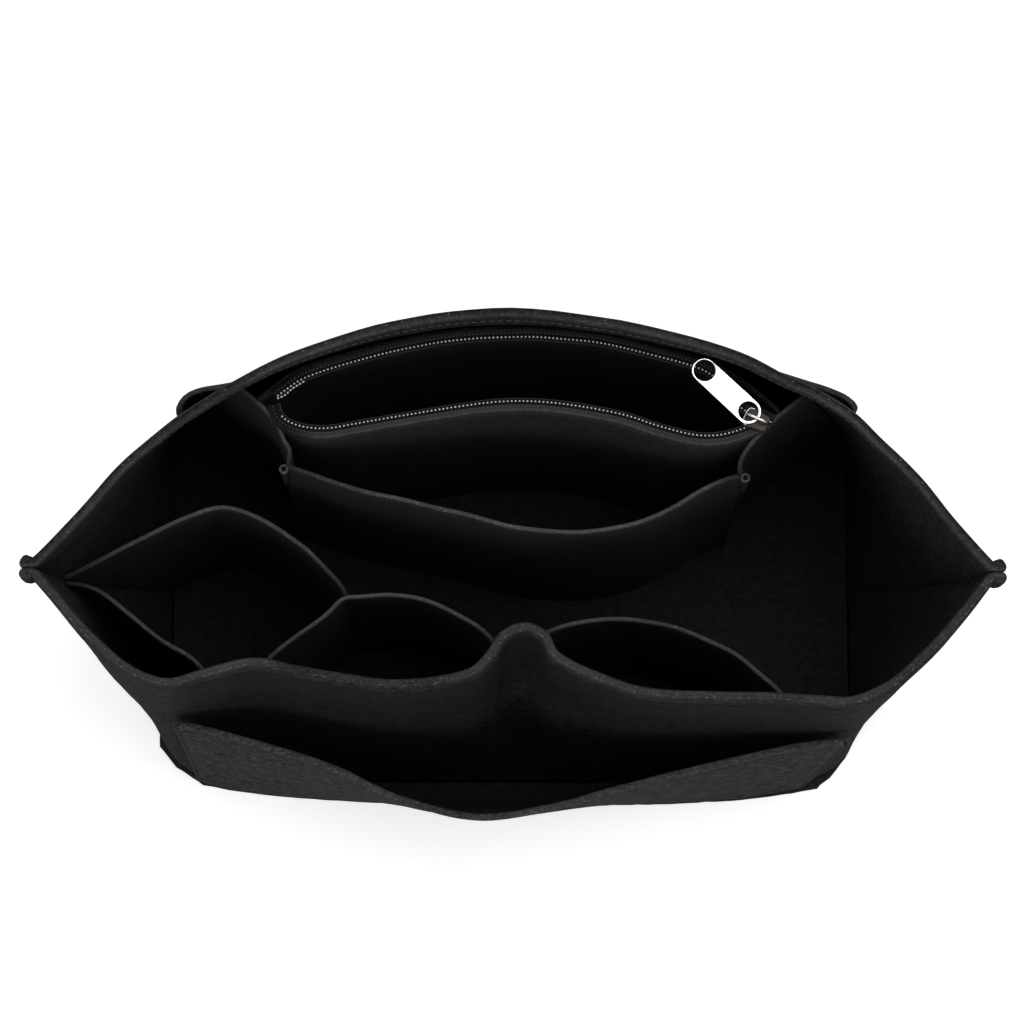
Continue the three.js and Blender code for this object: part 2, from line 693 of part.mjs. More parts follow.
const felt = { color: 0x1c1c1e, roughness: 0.96, metalness: 0 };
const pocketFelt = { color: 0x202022, roughness: 0.96, metalness: 0 };
const tapeCloth = { color: 0x151517, roughness: 0.8, metalness: 0 };
const teeth = { color: 0x8f9093, roughness: 0.4, metalness: 0 };
const plated = { color: 0xc9c9cb, roughness: 0.25, metalness: 1 };

const organizer = new THREE.Group();

function add(name, geometry, look, parent = organizer) {
  const mesh = new THREE.Mesh(geometry, new THREE.MeshStandardMaterial(look));
  mesh.name = name;
  parent.add(mesh);
  return mesh;
}

const inside = room();
const zipBay = betweenGussets();

add('base_panel', basePanel(), felt);
add('front_panel', wallPanel(FRONT_WALL), felt);
add('back_panel', wallPanel(BACK_WALL), felt);
add('front_rim_hem', rimHem(FRONT_WALL), felt);
add('back_rim_hem', rimHem(BACK_WALL), felt);

const frontPocket = outerPocket(FRONT_LIP_SHARES, FRONT_POCKET_REACH, BASE_FRONT, -1);
const backPocket = outerPocket(BACK_LIP_SHARES, BACK_POCKET_REACH, BASE_BACK, 1);
add('front_outer_pocket', pocketOnWall(frontPocket, FRONT_WALL), pocketFelt);
add('back_outer_pocket', pocketOnWall(backPocket, BACK_WALL), pocketFelt);

const panelTop = ZIP_HEIGHT - TAPE;
const overrunAngle = ZIP_END_ANGLE + THREE.MathUtils.radToDeg(ZIP_OVERRUN / ZIP_RADIUS);
const liningLip = arcLine(-overrunAngle, overrunAngle);
const lensFelt = [PANEL_BEHIND + POCKET_FELT, PANEL_BEHIND].map((value) => -value);
const liningFelt = [PANEL_BEHIND, PANEL_BEHIND + LINING_FELT];
const liningFoot = liningLip.map(([x, y]) => [x, y - LINING_DRAW]);
const liningRows = [[liningFoot, FOOT], [liningLip, panelTop]].map(([line, z]) => [line, line.map(() => z)]);
add('zip_pocket_lining', trimmed(sheet(liningRows, ...liningFelt), zipBay, inside), pocketFelt);
add('zip_pocket_front', trimmed(curtain(lensLine, ...lensFelt, FOOT, panelTop), zipBay, inside), pocketFelt);
add('slip_pocket_front', pocketCurtain(slipLine, BACK_POCKET_TOP), pocketFelt);
for (const [name, line] of [['left_gusset', leftGussetLine], ['right_gusset', rightGussetLine]]) {
  const gusset = trimmed(pocketCurtain(line, BACK_POCKET_TOP), inside);
  add(name, without(gusset, pocketCurtain(slipLine, BACK_POCKET_TOP, GAP)), pocketFelt);
}

add('zip_tape_back', trimmed(tape(backZipLine(-overrunAngle, TAPE_TAIL), 1), zipBay), tapeCloth);
add('zip_tape_front', trimmed(tape(lensLine, -1), zipBay), tapeCloth);
add('zip_chain_back', chain(backZipLine(-ZIP_END_ANGLE, 0)), teeth);
add('zip_chain_front', chain(lensLine), teeth);

const frontPocketLine = (shares) =>
  smooth(shares.map(([x, y]) => [x * RIM_HALF_LENGTH, y * RIM_FRONT]), POCKET_STEPS_PER_SPAN);
const middleLine = frontPocketLine(MIDDLE_SHARES);
const bottleBack = trimmed(pocketCurtain(frontPocketLine(BOTTLE_BACK_SHARES), FRONT_POCKET_TOP), inside);
add('bottle_holder_back', without(bottleBack, pocketCurtain(middleLine, FRONT_POCKET_TOP, GAP)), pocketFelt);
const bottleFront = pocketCurtain(frontPocketLine(BOTTLE_FRONT_SHARES), FRONT_POCKET_TOP);
add('bottle_holder_front', trimmed(bottleFront, inside), pocketFelt);
add('middle_pocket', trimmed(pocketCurtain(middleLine, FRONT_POCKET_TOP), inside), pocketFelt);
const vial = pocketCurtain(frontPocketLine(VIAL_SHARES), FRONT_POCKET_TOP);
add('vial_pocket', trimmed(vial, inside), pocketFelt);

const slider = new THREE.Group();
slider.position.set(...sliderSeat, ZIP_HEIGHT);
slider.rotation.z = Math.PI - THREE.MathUtils.degToRad(SLIDER_YAW);
organizer.add(slider);
add('slider_body', sliderBody(), plated, slider);
add('slider_bail', sliderBail(), plated, slider);
const pull = add('pull_tab', pullTab(), plated, slider);
pull.position.set(0, 0, PULL_HEIGHT);
pull.rotation.z = -THREE.MathUtils.degToRad(PULL_SKEW);

// The frame's origin is the middle of the outer box, on the floor
const box = new THREE.Box3().setFromObject(organizer);
organizer.position.set(-(box.min.x + box.max.x) / 2, -(box.min.y + box.max.y) / 2, -box.min.z);

export default organizer;
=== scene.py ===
# %% [markdown]
# # A felt purse organizer
# This insert stands inside a handbag and gives it pockets. It is sewn from sheets of black felt, with
# one zip. Everything below is set out in the CAD model's own frame, so we load that first. Blender
# works in metres, and the tailor's sizes here are in millimetres, so one helper turns them over.

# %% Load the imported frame
import math

import bmesh
import bpy
from mathutils import Matrix, Vector, geometry, noise


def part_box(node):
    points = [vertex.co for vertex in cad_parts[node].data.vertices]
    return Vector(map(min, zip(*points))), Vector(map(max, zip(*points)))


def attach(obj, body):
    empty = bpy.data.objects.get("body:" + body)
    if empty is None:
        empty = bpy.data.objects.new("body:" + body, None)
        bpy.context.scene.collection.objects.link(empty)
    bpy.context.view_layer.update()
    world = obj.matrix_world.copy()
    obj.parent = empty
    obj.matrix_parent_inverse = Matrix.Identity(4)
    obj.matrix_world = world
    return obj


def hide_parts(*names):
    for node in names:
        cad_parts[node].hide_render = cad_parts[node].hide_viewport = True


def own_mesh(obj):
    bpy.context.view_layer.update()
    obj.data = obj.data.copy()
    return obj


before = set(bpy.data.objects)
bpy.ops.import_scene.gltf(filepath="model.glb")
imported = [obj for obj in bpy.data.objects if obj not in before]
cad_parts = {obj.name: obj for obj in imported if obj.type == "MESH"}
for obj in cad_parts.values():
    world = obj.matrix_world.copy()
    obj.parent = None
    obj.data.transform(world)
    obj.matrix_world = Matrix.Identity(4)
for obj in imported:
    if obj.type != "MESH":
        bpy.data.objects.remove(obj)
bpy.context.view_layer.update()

# %% [markdown]
# The tailor measures front to back from the line between the two side seams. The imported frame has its
# origin in the middle of the outer box, so y has to be shifted. The base panel's back edge is 100 mm
# behind the seams' line, and its box says where that edge really is.

# %% Sizes of the organizer, in millimetres
HEIGHT, TIP_DROP = 160.0, 4.0
RIM_HALF_LENGTH, RIM_BACK, RIM_FRONT = 171.5, 97.2, 47.6
BASE_HALF_LENGTH, BASE_BACK, BASE_FRONT = 138.0, 100.0, 58.0
BASE_CORNER, BASE_BOW, BASE_FELT = 17.0, 6.0, 2.5
FELT, POCKET_FELT, LINING_FELT, LAYER_GAP = 1.7, 1.6, 1.4, 0.3
HEM_HEIGHT, SEAM_ALLOWANCE = 12.0, 7.0
FOOT = BASE_FELT + LAYER_GAP
WALL_INSET = 3.0 + FELT
SHIFT_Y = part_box("base_panel")[1].y * 1000 - BASE_BACK


def to_metres(point):
    return Vector((point[0], point[1] + SHIFT_Y, point[2])) / 1000


print("shift", round(SHIFT_Y, 3), "mm")

# %% [markdown]
# The camera comes first. It looks down steeply from in front with a long lens, and is turned by about one
# degree, as a camera on an arm over a table is.

# %% Camera
STEEPNESS, TURN, ROLL = math.radians(78.592), math.radians(1.271), math.radians(1.260)
CAMERA_PLACE, LENS, SENSOR = (-0.0077, -0.33565, 1.8753), 168.75, 36
ahead = math.cos(STEEPNESS)
forward = Vector((math.sin(TURN) * ahead, math.cos(TURN) * ahead, -math.sin(STEEPNESS)))
level_right = forward.cross(Vector((0, 0, 1))).normalized()
level_up = level_right.cross(forward)
right = level_right * math.cos(ROLL) + level_up * math.sin(ROLL)
up = right.cross(forward)
photo_camera = bpy.data.objects.new("photo_camera", bpy.data.cameras.new("photo_camera"))
bpy.context.scene.collection.objects.link(photo_camera)
turned = Matrix((right, up, -forward)).transposed().to_4x4()
photo_camera.matrix_world = Matrix.Translation(CAMERA_PLACE) @ turned
photo_camera.data.lens, photo_camera.data.sensor_width = LENS, SENSOR
photo_camera.data.clip_start, photo_camera.data.clip_end = 0.05, 50
bpy.context.scene.camera = photo_camera
bpy.context.scene.view_settings.view_transform = "Standard"

# %% [markdown]
# ## Materials
# Felt is a mat of fibres pressed together. Close up it has fine specks, from afar a soft mottle, and its
# folds and cut edges look paler, because loose fibres stand up there and catch the light. So the colour
# comes from three sizes of noise, and a value on each corner of the mesh says how pale the felt is there.
# That paleness is partly worn fibres and partly a painted highlight on edges and ridges that face the light.
# Below zero the same value is painted shade, for creases, holes and faces where a shadow falls, and the felt
# is blacker there.

# %% Helpers for materials
def principled(material, socket):
    """An input of the material's main shader, with _ for each space in its name."""
    return material.node_tree.nodes["Principled BSDF"].inputs[socket.replace("_", " ")]


def shader(name, **settings):
    """A material, with plain values set on its main shader."""
    material = bpy.data.materials.new(name)
    material.use_nodes = True
    for socket, value in settings.items():
        principled(material, socket).default_value = value
    return material


def node(owner, kind, inputs=None, output=0, **settings):
    """Adds a node, whose inputs are values or other nodes' outputs, and gives back its output."""
    made = owner.node_tree.nodes.new(f"ShaderNode{kind}")
    for key, value in settings.items():
        if hasattr(made, key):
            setattr(made, key, value)
        else:
            made.inputs[key.replace("_", " ")].default_value = value
    for socket, source in (inputs or {}).items():
        if isinstance(source, bpy.types.NodeSocket):
            owner.node_tree.links.new(source, made.inputs[socket])
        else:
            made.inputs[socket].default_value = source
    return made.outputs[output]


def wire(material, **sources):
    """Leads outputs into the main shader."""
    for socket, source in sources.items():
        material.node_tree.links.new(source, principled(material, socket))


def blend(material, share, low, high):
    return node(material, "Mix", {0: share, 6: low, 7: high}, output=2, data_type="RGBA")


def cloth_with_wear_light_and_shade(material, cloth, fuzz_light_and_shade, paler, edge):
    """The cloth's colour: black where the pale-and-shade value is -1, as painted shade, and the edge's
    colour where the felt is worn and where a highlight is painted.
    """
    left = node(material, "Math", {0: fuzz_light_and_shade, 1: 1.0}, operation="ADD", use_clamp=True)
    shaded_cloth = blend(material, left, (0, 0, 0, 1), cloth)
    return blend(material, paler, shaded_cloth, (*edge, 1))


# %% Felt
SPECKS, MOTTLE, WEAR = 1300, 420, 28


def make_felt(name, dark, pale, edge, nap=0.04):
    """Pressed felt: `dark` and `pale` are its fibres, `edge` the paler colour of worn folds and cut edges,
    also used as a painted highlight there.
    """
    material = shader(name, Specular_IOR_Level=0.06, Sheen_Weight=nap, Sheen_Roughness=0.5)
    place = node(material, "TexCoord", output="Object")
    drawn = node(material, "Mapping", {"Vector": place, "Scale": (0.7, 1, 1)}, vector_type="POINT")
    grain = dict(Scale=SPECKS, Detail=4, Roughness=0.75, Distortion=0.8)
    specks = node(material, "TexNoise", {"Vector": drawn}, **grain)
    mottle = node(material, "TexNoise", {"Vector": drawn}, Scale=MOTTLE, Detail=3, Roughness=0.6)
    wear = node(material, "TexNoise", {"Vector": place}, Scale=WEAR, Detail=2)
    fibres = node(material, "Mix", {0: 0.35, 2: specks, 3: mottle}, data_type="FLOAT")
    shade = node(material, "MapRange", {"Value": fibres}, From_Min=0.44, From_Max=0.60)
    flecks = node(material, "MapRange", {"Value": specks}, From_Min=0.55, From_Max=0.66)
    cloth = blend(material, shade, (*dark, 1), (*pale, 1))
    fuzz_light_and_shade = node(material, "Attribute", output="Fac", attribute_name="fuzz_light_and_shade")
    wear_light_and_shade = node(material, "Math", {0: fuzz_light_and_shade, 1: wear}, operation="MULTIPLY")
    lit = node(material, "Math", {0: flecks, 1: fuzz_light_and_shade}, operation="MULTIPLY")
    paler = node(material, "Math", {0: wear_light_and_shade, 1: lit}, operation="ADD", use_clamp=True)
    rough = node(material, "MapRange", {"Value": specks}, To_Min=0.86, To_Max=1.0)
    fine = node(material, "Bump", {"Height": specks}, Strength=0.9, Distance=0.0008)
    soft = node(material, "Bump", {"Height": mottle, "Normal": fine}, Strength=0.35, Distance=0.0008)
    colour = cloth_with_wear_light_and_shade(material, cloth, fuzz_light_and_shade, paler, edge)
    wire(material, Base_Color=colour, Roughness=rough, Normal=soft)
    return material


wall_felt = make_felt("wall_felt", (0.002, 0.002, 0.0021), (0.026, 0.026, 0.0265), (0.12,) * 3, 0.015)
pocket_felt = make_felt("pocket_felt", (0.003, 0.003, 0.0032), (0.052, 0.052, 0.0525), (0.14,) * 3, 0.012)
lining_felt = make_felt("lining_felt", (0.002, 0.002, 0.0021), (0.018, 0.018, 0.0185), (0.15,) * 3, 0.03)
floor_felt = make_felt("floor_felt", (0.012, 0.012, 0.0122), (0.024, 0.024, 0.0245), (0.10,) * 3)
print("felts", [m.name for m in (wall_felt, pocket_felt, lining_felt, floor_felt)])

# %% [markdown]
# The zip's tape is woven, so it has fine ribs across it, unlike the felt. The ribs follow the tape
# wherever it turns, so they read the mesh's own `run` value, the distance along the piece. The nylon
# coil has the same kind of ribs, closer together. The thread is plain, and the slider and tab are metal.

# %% Woven tape and ribbed nylon
def make_tape(name, pitch, dark, pale, edge):
    """Cloth with ribs across it, `pitch` millimetres apart."""
    material = shader(name, Specular_IOR_Level=0.08, Sheen_Weight=0.015, Roughness=0.7)
    run = node(material, "Attribute", output="Fac", attribute_name="run")
    fuzz_light_and_shade = node(material, "Attribute", output="Fac", attribute_name="fuzz_light_and_shade")
    turns = node(material, "Math", {0: run, 1: 2 * math.pi / pitch}, operation="MULTIPLY")
    rib = node(material, "Math", {0: turns}, operation="SINE")
    place = node(material, "TexCoord", output="Object")
    lint = node(material, "TexNoise", {"Vector": place}, Scale=SPECKS, Detail=3)
    mixed = node(material, "Math", {0: rib, 1: lint}, operation="ADD")
    shade = node(material, "MapRange", {"Value": mixed}, From_Min=-0.5, From_Max=1.6)
    cloth = blend(material, shade, (*dark, 1), (*pale, 1))
    relief = node(material, "Bump", {"Height": mixed}, Strength=0.5, Distance=0.0002)
    wire(material, Base_Color=cloth_with_wear_light_and_shade(material, cloth, fuzz_light_and_shade, fuzz_light_and_shade, edge), Normal=relief)
    return material


TAPE_RIB, COIL_RIB = 0.9, 0.74
# The back tape's cloth is a darker copy of the front tape's, painted shade; the coil's pale edge colour is a
# painted highlight.
shaded_tape = make_tape("shaded_tape", TAPE_RIB, (0.003, 0.003, 0.0032), (0.018, 0.018, 0.0185), (0.10,) * 3)
lit_tape = make_tape("lit_tape", TAPE_RIB, (0.006, 0.006, 0.0062), (0.055, 0.055, 0.0555), (0.12,) * 3)
coil_nylon = make_tape("coil_nylon", COIL_RIB, (0.002,) * 3, (0.008, 0.008, 0.0082), (0.30,) * 3)


# %% Thread, moulded nylon and metal
def make_plain(name, dark, pale, scale, low, high, bump=0.2, **settings):
    """A finish whose colour and roughness wander a little: `scale` sets how finely."""
    material = shader(name, **settings)
    place = node(material, "TexCoord", output="Object")
    grain = node(material, "TexNoise", {"Vector": place}, Scale=scale, Detail=3, Roughness=0.6)
    tone = blend(material, grain, (*dark, 1), (*pale, 1))
    rough = node(material, "MapRange", {"Value": grain}, To_Min=low, To_Max=high)
    relief = node(material, "Bump", {"Height": grain}, Strength=bump, Distance=0.0001)
    wire(material, Base_Color=tone, Roughness=rough, Normal=relief)
    return material


black_thread = make_plain("black_thread", (0.02, 0.02, 0.021), (0.07, 0.07, 0.072), 1800, 0.5, 0.8)
# Pale specks: lint on the rims, painted highlights on the stitches along the pocket lips.
lint_and_glint_thread = make_plain("lint_and_glint_thread", (0.06, 0.06, 0.06), (0.15, 0.15, 0.147), 1800, 0.5, 0.8)
# The pale grey of the bright zip dots stands for glints on the stitches: painted highlight.
glint_nylon = make_plain("glint_nylon", (0.40, 0.40, 0.405), (0.75, 0.75, 0.75), 900, 0.25, 0.45)
silver_plate, shaded_slider_metal, bail_metal = (make_plain(*finish, Metallic=1.0) for finish in (
    ("silver_plate", (0.80, 0.80, 0.81), (0.90, 0.90, 0.905), 300, 0.16, 0.30, 0.1),
    # The slider's dark brown is painted shade over its cast metal.
    ("shaded_slider_metal", (0.014, 0.0125, 0.011), (0.04, 0.037, 0.032), 700, 0.32, 0.5, 0.3),
    ("bail_metal", (0.32, 0.31, 0.30), (0.55, 0.54, 0.52), 700, 0.2, 0.35, 0.2),
))
print("zip finishes", [m.name for m in (shaded_tape, lit_tape, glint_nylon, silver_plate, shaded_slider_metal)])

# %% [markdown]
# ## Lines on the cutting table
# Most pieces are strips of felt that stand on edge, so they start as a line seen from above. Here are a
# smooth line through points, a line beside it, the part of it before a wall, and an even spread of
# points along it.

# %% Plan lines
def smooth_line(points, steps):
    """A smooth line through the points, with `steps` short runs from each to the next."""
    spots = [Vector(p) for p in points]
    spots = [2 * spots[0] - spots[1], *spots, 2 * spots[-1] - spots[-2]]
    line = []
    for a, b, c, d in zip(spots, spots[1:], spots[2:], spots[3:]):
        ab, bc, cd = ((q - p).length ** 0.5 for p, q in ((a, b), (b, c), (c, d)))
        leave = ((b - a) / ab - (c - a) / (ab + bc) + (c - b) / bc) * bc
        arrive = ((c - b) / bc - (d - b) / (bc + cd) + (d - c) / cd) * bc
        square, cube = 3 * (c - b) - 2 * leave - arrive, 2 * (b - c) + leave + arrive
        for t in (step / steps for step in range(steps)):
            line.append(b + leave * t + square * t**2 + cube * t**3)
    return [*line, spots[-2]]


def beside(line, amount):
    """The line moved sideways, by one amount or by one for each point. Positive is to its left."""
    amounts = amount if isinstance(amount, list) else [amount] * len(line)
    moved = []
    for i, point in enumerate(line):
        along = line[min(i + 1, len(line) - 1)] - line[max(i - 1, 0)]
        across = Vector((-along.y, along.x)).normalized() * amounts[i]
        moved.append(Vector((point.x + across.x, point.y + across.y, *point[2:])))
    return moved


def run_along(line):
    """How far each point lies along the line."""
    run = [0.0]
    for a, b in zip(line, line[1:]):
        run.append(run[-1] + (b - a).length)
    return run


def spread(line, count, near_ends=()):
    """Points along the line: at the given distances from both ends, and evenly spaced between."""
    run = run_along(line)
    margin = near_ends[-1] if near_ends else 0
    middle = [margin + (run[-1] - 2 * margin) * i / count for i in range(count + 1)]
    wanted = [*near_ends[:-1], *middle, *(run[-1] - d for d in reversed(near_ends[:-1]))]
    points, i = [], 0
    for distance in wanted:
        while i < len(run) - 2 and run[i + 1] < distance:
            i += 1
        points.append(line[i].lerp(line[i + 1], (distance - run[i]) / (run[i + 1] - run[i])))
    return points


def cut_at(line, barrier):
    """The line from its start to where it first meets the barrier."""
    for i, (a, b) in enumerate(zip(line, line[1:])):
        for c, d in zip(barrier, barrier[1:]):
            hit = geometry.intersect_line_line_2d(a, b, c, d)
            if hit:
                return [*line[: i + 1], hit]
    return line


def lerp(a, b, share):
    return a + (b - a) * share


def clamp(value, low=0.0, high=1.0):
    return min(max(value, low), high)


def hump(value, at, width):
    """A soft hump, 1 high at one place and gone a few widths away."""
    return math.exp(-(((value - at) / width) ** 2))


def round_off(distance, radius):
    """A quarter circle, from 0 at an edge to 1 at the radius."""
    return math.sqrt(1 - (1 - clamp(distance / radius)) ** 2)


# %% [markdown]
# ## From a line to cloth
# A strip of felt has two faces and a rounded lip. Its skin is a grid wrapped round it: each row runs
# along the strip, and the rows go up one face, over the lip and down the other. So the helper starts
# from Blender's grid, moves its points into place, welds the first row to the last and closes the ends.
# No felt is quite straight, so one gentle field of noise bends every piece alike. Layers that lie
# together are bent together, and stay apart. Blender starts that field from the clock unless it is
# given a seed, so we give it one, and the cloth hangs the same way each time.

# %% The drape that all the cloth shares
SLIDER_SEAT = Vector((90.38, 48.298 - SHIFT_Y, 142.0))
# [how fine the waves are, how far they reach in millimetres]
SWAY = ((0.017, 0.4), (0.06, 0.35))
SWAY_SEED = 7
noise.seed_set(SWAY_SEED)


def drape(point):
    """Half a millimetre or so of sway, none at the floor or beside the zip's slider."""
    still = clamp((point.z - 6) / 50) * clamp(((point - SLIDER_SEAT).length - 14) / 30)
    broad, narrow = (noise.noise_vector(point * fine) * reach for fine, reach in SWAY)
    sway = broad + narrow
    return point + Vector((sway.x, sway.y, sway.z * 0.35)) * still


# %% A piece of cloth from its rows
def finish_piece(name, mesh_builder, materials, body="organizer", smooth=True):
    """Turns a bmesh into a named piece that rides on a body."""
    mesh = bpy.data.meshes.new(name)
    mesh_builder.to_mesh(mesh)
    mesh_builder.free()
    for material in materials:
        mesh.materials.append(material)
    mesh.polygons.foreach_set("use_smooth", [smooth] * len(mesh.polygons))
    piece = bpy.data.objects.new(name, mesh)
    bpy.context.scene.collection.objects.link(piece)
    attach(piece, body)
    return piece


def cloth(name, rows, fuzz_light_and_shade, material, swayed=True):
    """A felt piece: rows of points round it in millimetres, and how pale the felt is on each row."""
    work = bmesh.new()
    across, around = len(rows[0]) - 1, len(rows)
    bmesh.ops.create_grid(work, x_segments=across, y_segments=around, size=1)
    pale, run = work.verts.layers.float.new("fuzz_light_and_shade"), work.verts.layers.float.new("run")
    distances = [run_along(row) for row in rows]
    for vert in work.verts:
        column, turn = round((vert.co.x + 1) / 2 * across), round((vert.co.y + 1) / 2 * around) % around
        point = Vector(rows[turn][column])
        vert.co = to_metres(drape(point) if swayed else point)
        vert[pale] = fuzz_light_and_shade[turn][column] if isinstance(fuzz_light_and_shade[turn], list) else fuzz_light_and_shade[turn]
        vert[run] = distances[turn][column]
    bmesh.ops.remove_doubles(work, verts=work.verts, dist=1e-7)
    bmesh.ops.holes_fill(work, edges=[e for e in work.edges if e.is_boundary], sides=0)
    bmesh.ops.recalc_face_normals(work, faces=work.faces)
    piece = finish_piece(name, work, [material])
    print(name, len(piece.data.polygons), "faces")
    return piece


# %% [markdown]
# ## The two large walls
# Each wall starts on the base, leans outwards and ends in the rim. Its plan line is known at the foot
# and at the rim, and every height between is a mix of the two. Where the walls meet at the sides they
# turn out into a sewn flange. At the rim the felt is folded inwards to make the hem, so from above we
# see two rounded layers with a fine groove between them.

# %% Where the walls stand
FRONT_WALL_SHARES = [
    (-0.885, -0.536, -1, -0.15), (-0.814, -0.751, -1, -0.49), (-0.729, -0.864, -0.965, -0.85),
    (-0.657, -0.803, -0.85, -1), (-0.545, -0.714, -0.7, -1), (-0.462, -0.767, -0.59, -1),
    (-0.359, -0.834, -0.46, -1), (-0.254, -0.88, -0.33, -1), (-0.153, -0.85, -0.2, -1),
    (-0.08, -0.77, -0.1, -1), (-0.043, -0.63, -0.05, -1), (-0.018, -0.495, -0.02, -1),
    (0.027, -0.43, 0.035, -1), (0.066, -0.495, 0.08, -1), (0.086, -0.63, 0.11, -1),
    (0.131, -0.74, 0.17, -1), (0.208, -0.856, 0.27, -1), (0.278, -0.933, 0.36, -1),
    (0.43, -0.97, 0.55, -1), (0.554, -0.97, 0.71, -1), (0.657, -0.992, 0.84, -1),
    (0.719, -1, 0.955, -0.87), (0.801, -0.876, 1, -0.53), (0.872, -0.655, 1, -0.19),
    (0.943, -0.379, 1, 0.11),
]
BACK_WALL_SHARES = [
    (-0.908, 0.247, -1, 0.47), (-0.839, 0.388, -1, 0.68), (-0.767, 0.502, -1, 0.84),
    (-0.691, 0.601, -0.96, 0.955), (-0.603, 0.701, -0.85, 1), (-0.458, 0.832, -0.64, 1),
    (-0.252, 0.95, -0.33, 1), (0, 1, 0, 1), (0.275, 0.938, 0.36, 1), (0.481, 0.832, 0.64, 1),
    (0.584, 0.737, 0.78, 1), (0.651, 0.683, 0.88, 0.99), (0.727, 0.597, 0.97, 0.93),
    (0.788, 0.492, 1, 0.78), (0.863, 0.36, 1, 0.61), (0.934, 0.203, 1, 0.4),
]
# The last value in each wall is how strongly a painted shadow darkens its outer face below the rim; the back
# wall has none.
FRONT_WALL = dict(
    shares=FRONT_WALL_SHARES, reach=RIM_FRONT, foot=BASE_FRONT - WALL_INSET, side=-1,
    lean=1.7, corner_lean=2.4, swell=(4.0, 2.0), depth=0.5,
)
BACK_WALL = dict(
    shares=BACK_WALL_SHARES, reach=RIM_BACK, foot=BASE_BACK - WALL_INSET, side=1,
    lean=1.0, corner_lean=1.0, swell=(0, 0), depth=0,
)
SEAM_LEAN, SEAM_FOOT, SWELL_AT = 1.3, 21, 0.22
# [side, how far back the seam lies, how far the tip reaches out]
TIPS = ((-1, 2.1, 2.85), (1, 0.6, 3.4))
HEM_SHARE = 1 - HEM_HEIGHT / HEIGHT
FLANGE_STOPS = [0, 0.1, 0.4, 0.9, 1.6, 2.5, 3.6, 4.8]


def wall_line(wall, share):
    """The wall's inner face at a share of its height, from the left flange to the right one."""
    seam_blend = 1 - (1 - share) ** SEAM_LEAN
    half_foot = BASE_HALF_LENGTH - WALL_INSET
    parting = clamp((share - HEM_SHARE) / 0.012 + 1)
    aside = wall["side"] * (0.02 + parting * 2.12)
    seam_x = lerp(half_foot, RIM_HALF_LENGTH, seam_blend)
    seams = []
    for sign, tip, reach in TIPS:
        seam_y = lerp(SEAM_FOOT, tip, seam_blend) + aside
        seams.append(Vector((sign * (seam_x + reach * seam_blend**4), seam_y)))
    bulge = share / SWELL_AT * math.exp(1 - share / SWELL_AT) * (1 - share)
    middle = []
    for rim_x, rim_y, foot_x, foot_y in wall["shares"]:
        near = clamp((abs(foot_x) - 0.55) / 0.4)
        corner_lean = wall["corner_lean"] if foot_x < 0 else wall["lean"]
        blend = 1 - (1 - share) ** lerp(wall["lean"], corner_lean, near)
        swell = wall["swell"][foot_x > 0] * near * bulge
        x = lerp(foot_x * half_foot, rim_x * RIM_HALF_LENGTH, blend)
        y = lerp(foot_y * wall["foot"], rim_y * wall["reach"], blend)
        middle.append(Vector((x + math.copysign(0.75, foot_x) * swell, y + wall["side"] * 0.66 * swell)))
    flange = [Vector((SEAM_ALLOWANCE - 1.4 * seam_blend**4 - stop, 0)) for stop in FLANGE_STOPS]
    left_flange = [seams[0] - out for out in flange]
    right_flange = [seams[1] + out for out in reversed(flange)]
    return left_flange + smooth_line([seams[0], *middle, seams[1]], 6) + right_flange


def wall_height(x, share):
    return lerp(FOOT, HEIGHT - TIP_DROP * min(abs(x / RIM_HALF_LENGTH), 1) ** 4, share)


# %% The walls' skin, with the hem folded over inside
WALL_RISE = HEIGHT - FOOT
WALL_SHARES = [0, 0.02, 0.06, *(i / 20 for i in range(2, 18)), 0.88, 0.905]
# [outwards from the inner face, below the rim's top, how pale in front, how pale at the back]; the paleness
# is partly worn fibres and partly painted highlight, set apart for each wall by where the light falls on it
RIM_ROUND = [
    (1.80, 1.9, 0.05, 0.2), (1.74, 1.2, 0.08, 0.6), (1.58, 0.6, 0.15, 0.7), (1.3, 0.22, 0.3, 0.3),
    (0.95, 0.06, 0.45, 0.08), (0.5, 0.03, 0.6, 0.1), (0.15, 0.06, 0.6, 0.35), (-0.05, 0.13, 0.45, 0.4),
    (-0.15, 0.16, 0.4, 0.25), (-0.25, 0.13, 0.45, 0.3), (-0.5, 0.04, 0.6, 0.45), (-0.9, 0.0, 0.6, 0.6),
    (-1.3, 0.08, 0.5, 0.6), (-1.65, 0.3, 0.4, 0.5), (-1.92, 0.72, 0.3, 0.4), (-2.05, 1.3, 0.22, 0.3),
    (-2.1, 2.2, 0.15, 0.2), (-2.1, 3.2, 0.1, 0.12), (-2.1, 4.2, 0.08, 0.08), (-2.16, 4.9, 0.05, 0.05),
    (-2.04, 5.6, 0.0, 0.0), (-2.16, 6.3, 0.05, 0.05), (-2.12, 7.2, 0.08, 0.08),
    (-2.12, 9.4, 0.08, 0.08), (-2.1, 10.8, 0.15, 0.15), (-1.95, 11.5, 0.25, 0.25),
    (-1.6, 11.95, 0.15, 0.15), (-1.0, 12.1, 0.05, 0.05), (-0.4, 12.2, 0.0, 0.0),
    (-0.02, 12.6, 0.0, 0.0),
]
SEAM_DROPS = [12, 10.5, 9.4, 8.6, 8.0, 7.4, 6.9, 6.4, 6.0, 5.6, 5.2, 4.7, 4.2, 3.6, 2.8]
RIM_STITCHES = len(WALL_SHARES) + SEAM_DROPS.index(6.0)
RIM_SPECKS = len(WALL_SHARES) + len(SEAM_DROPS) + 5
HEM_STITCHES = len(WALL_SHARES) + len(SEAM_DROPS) + 20


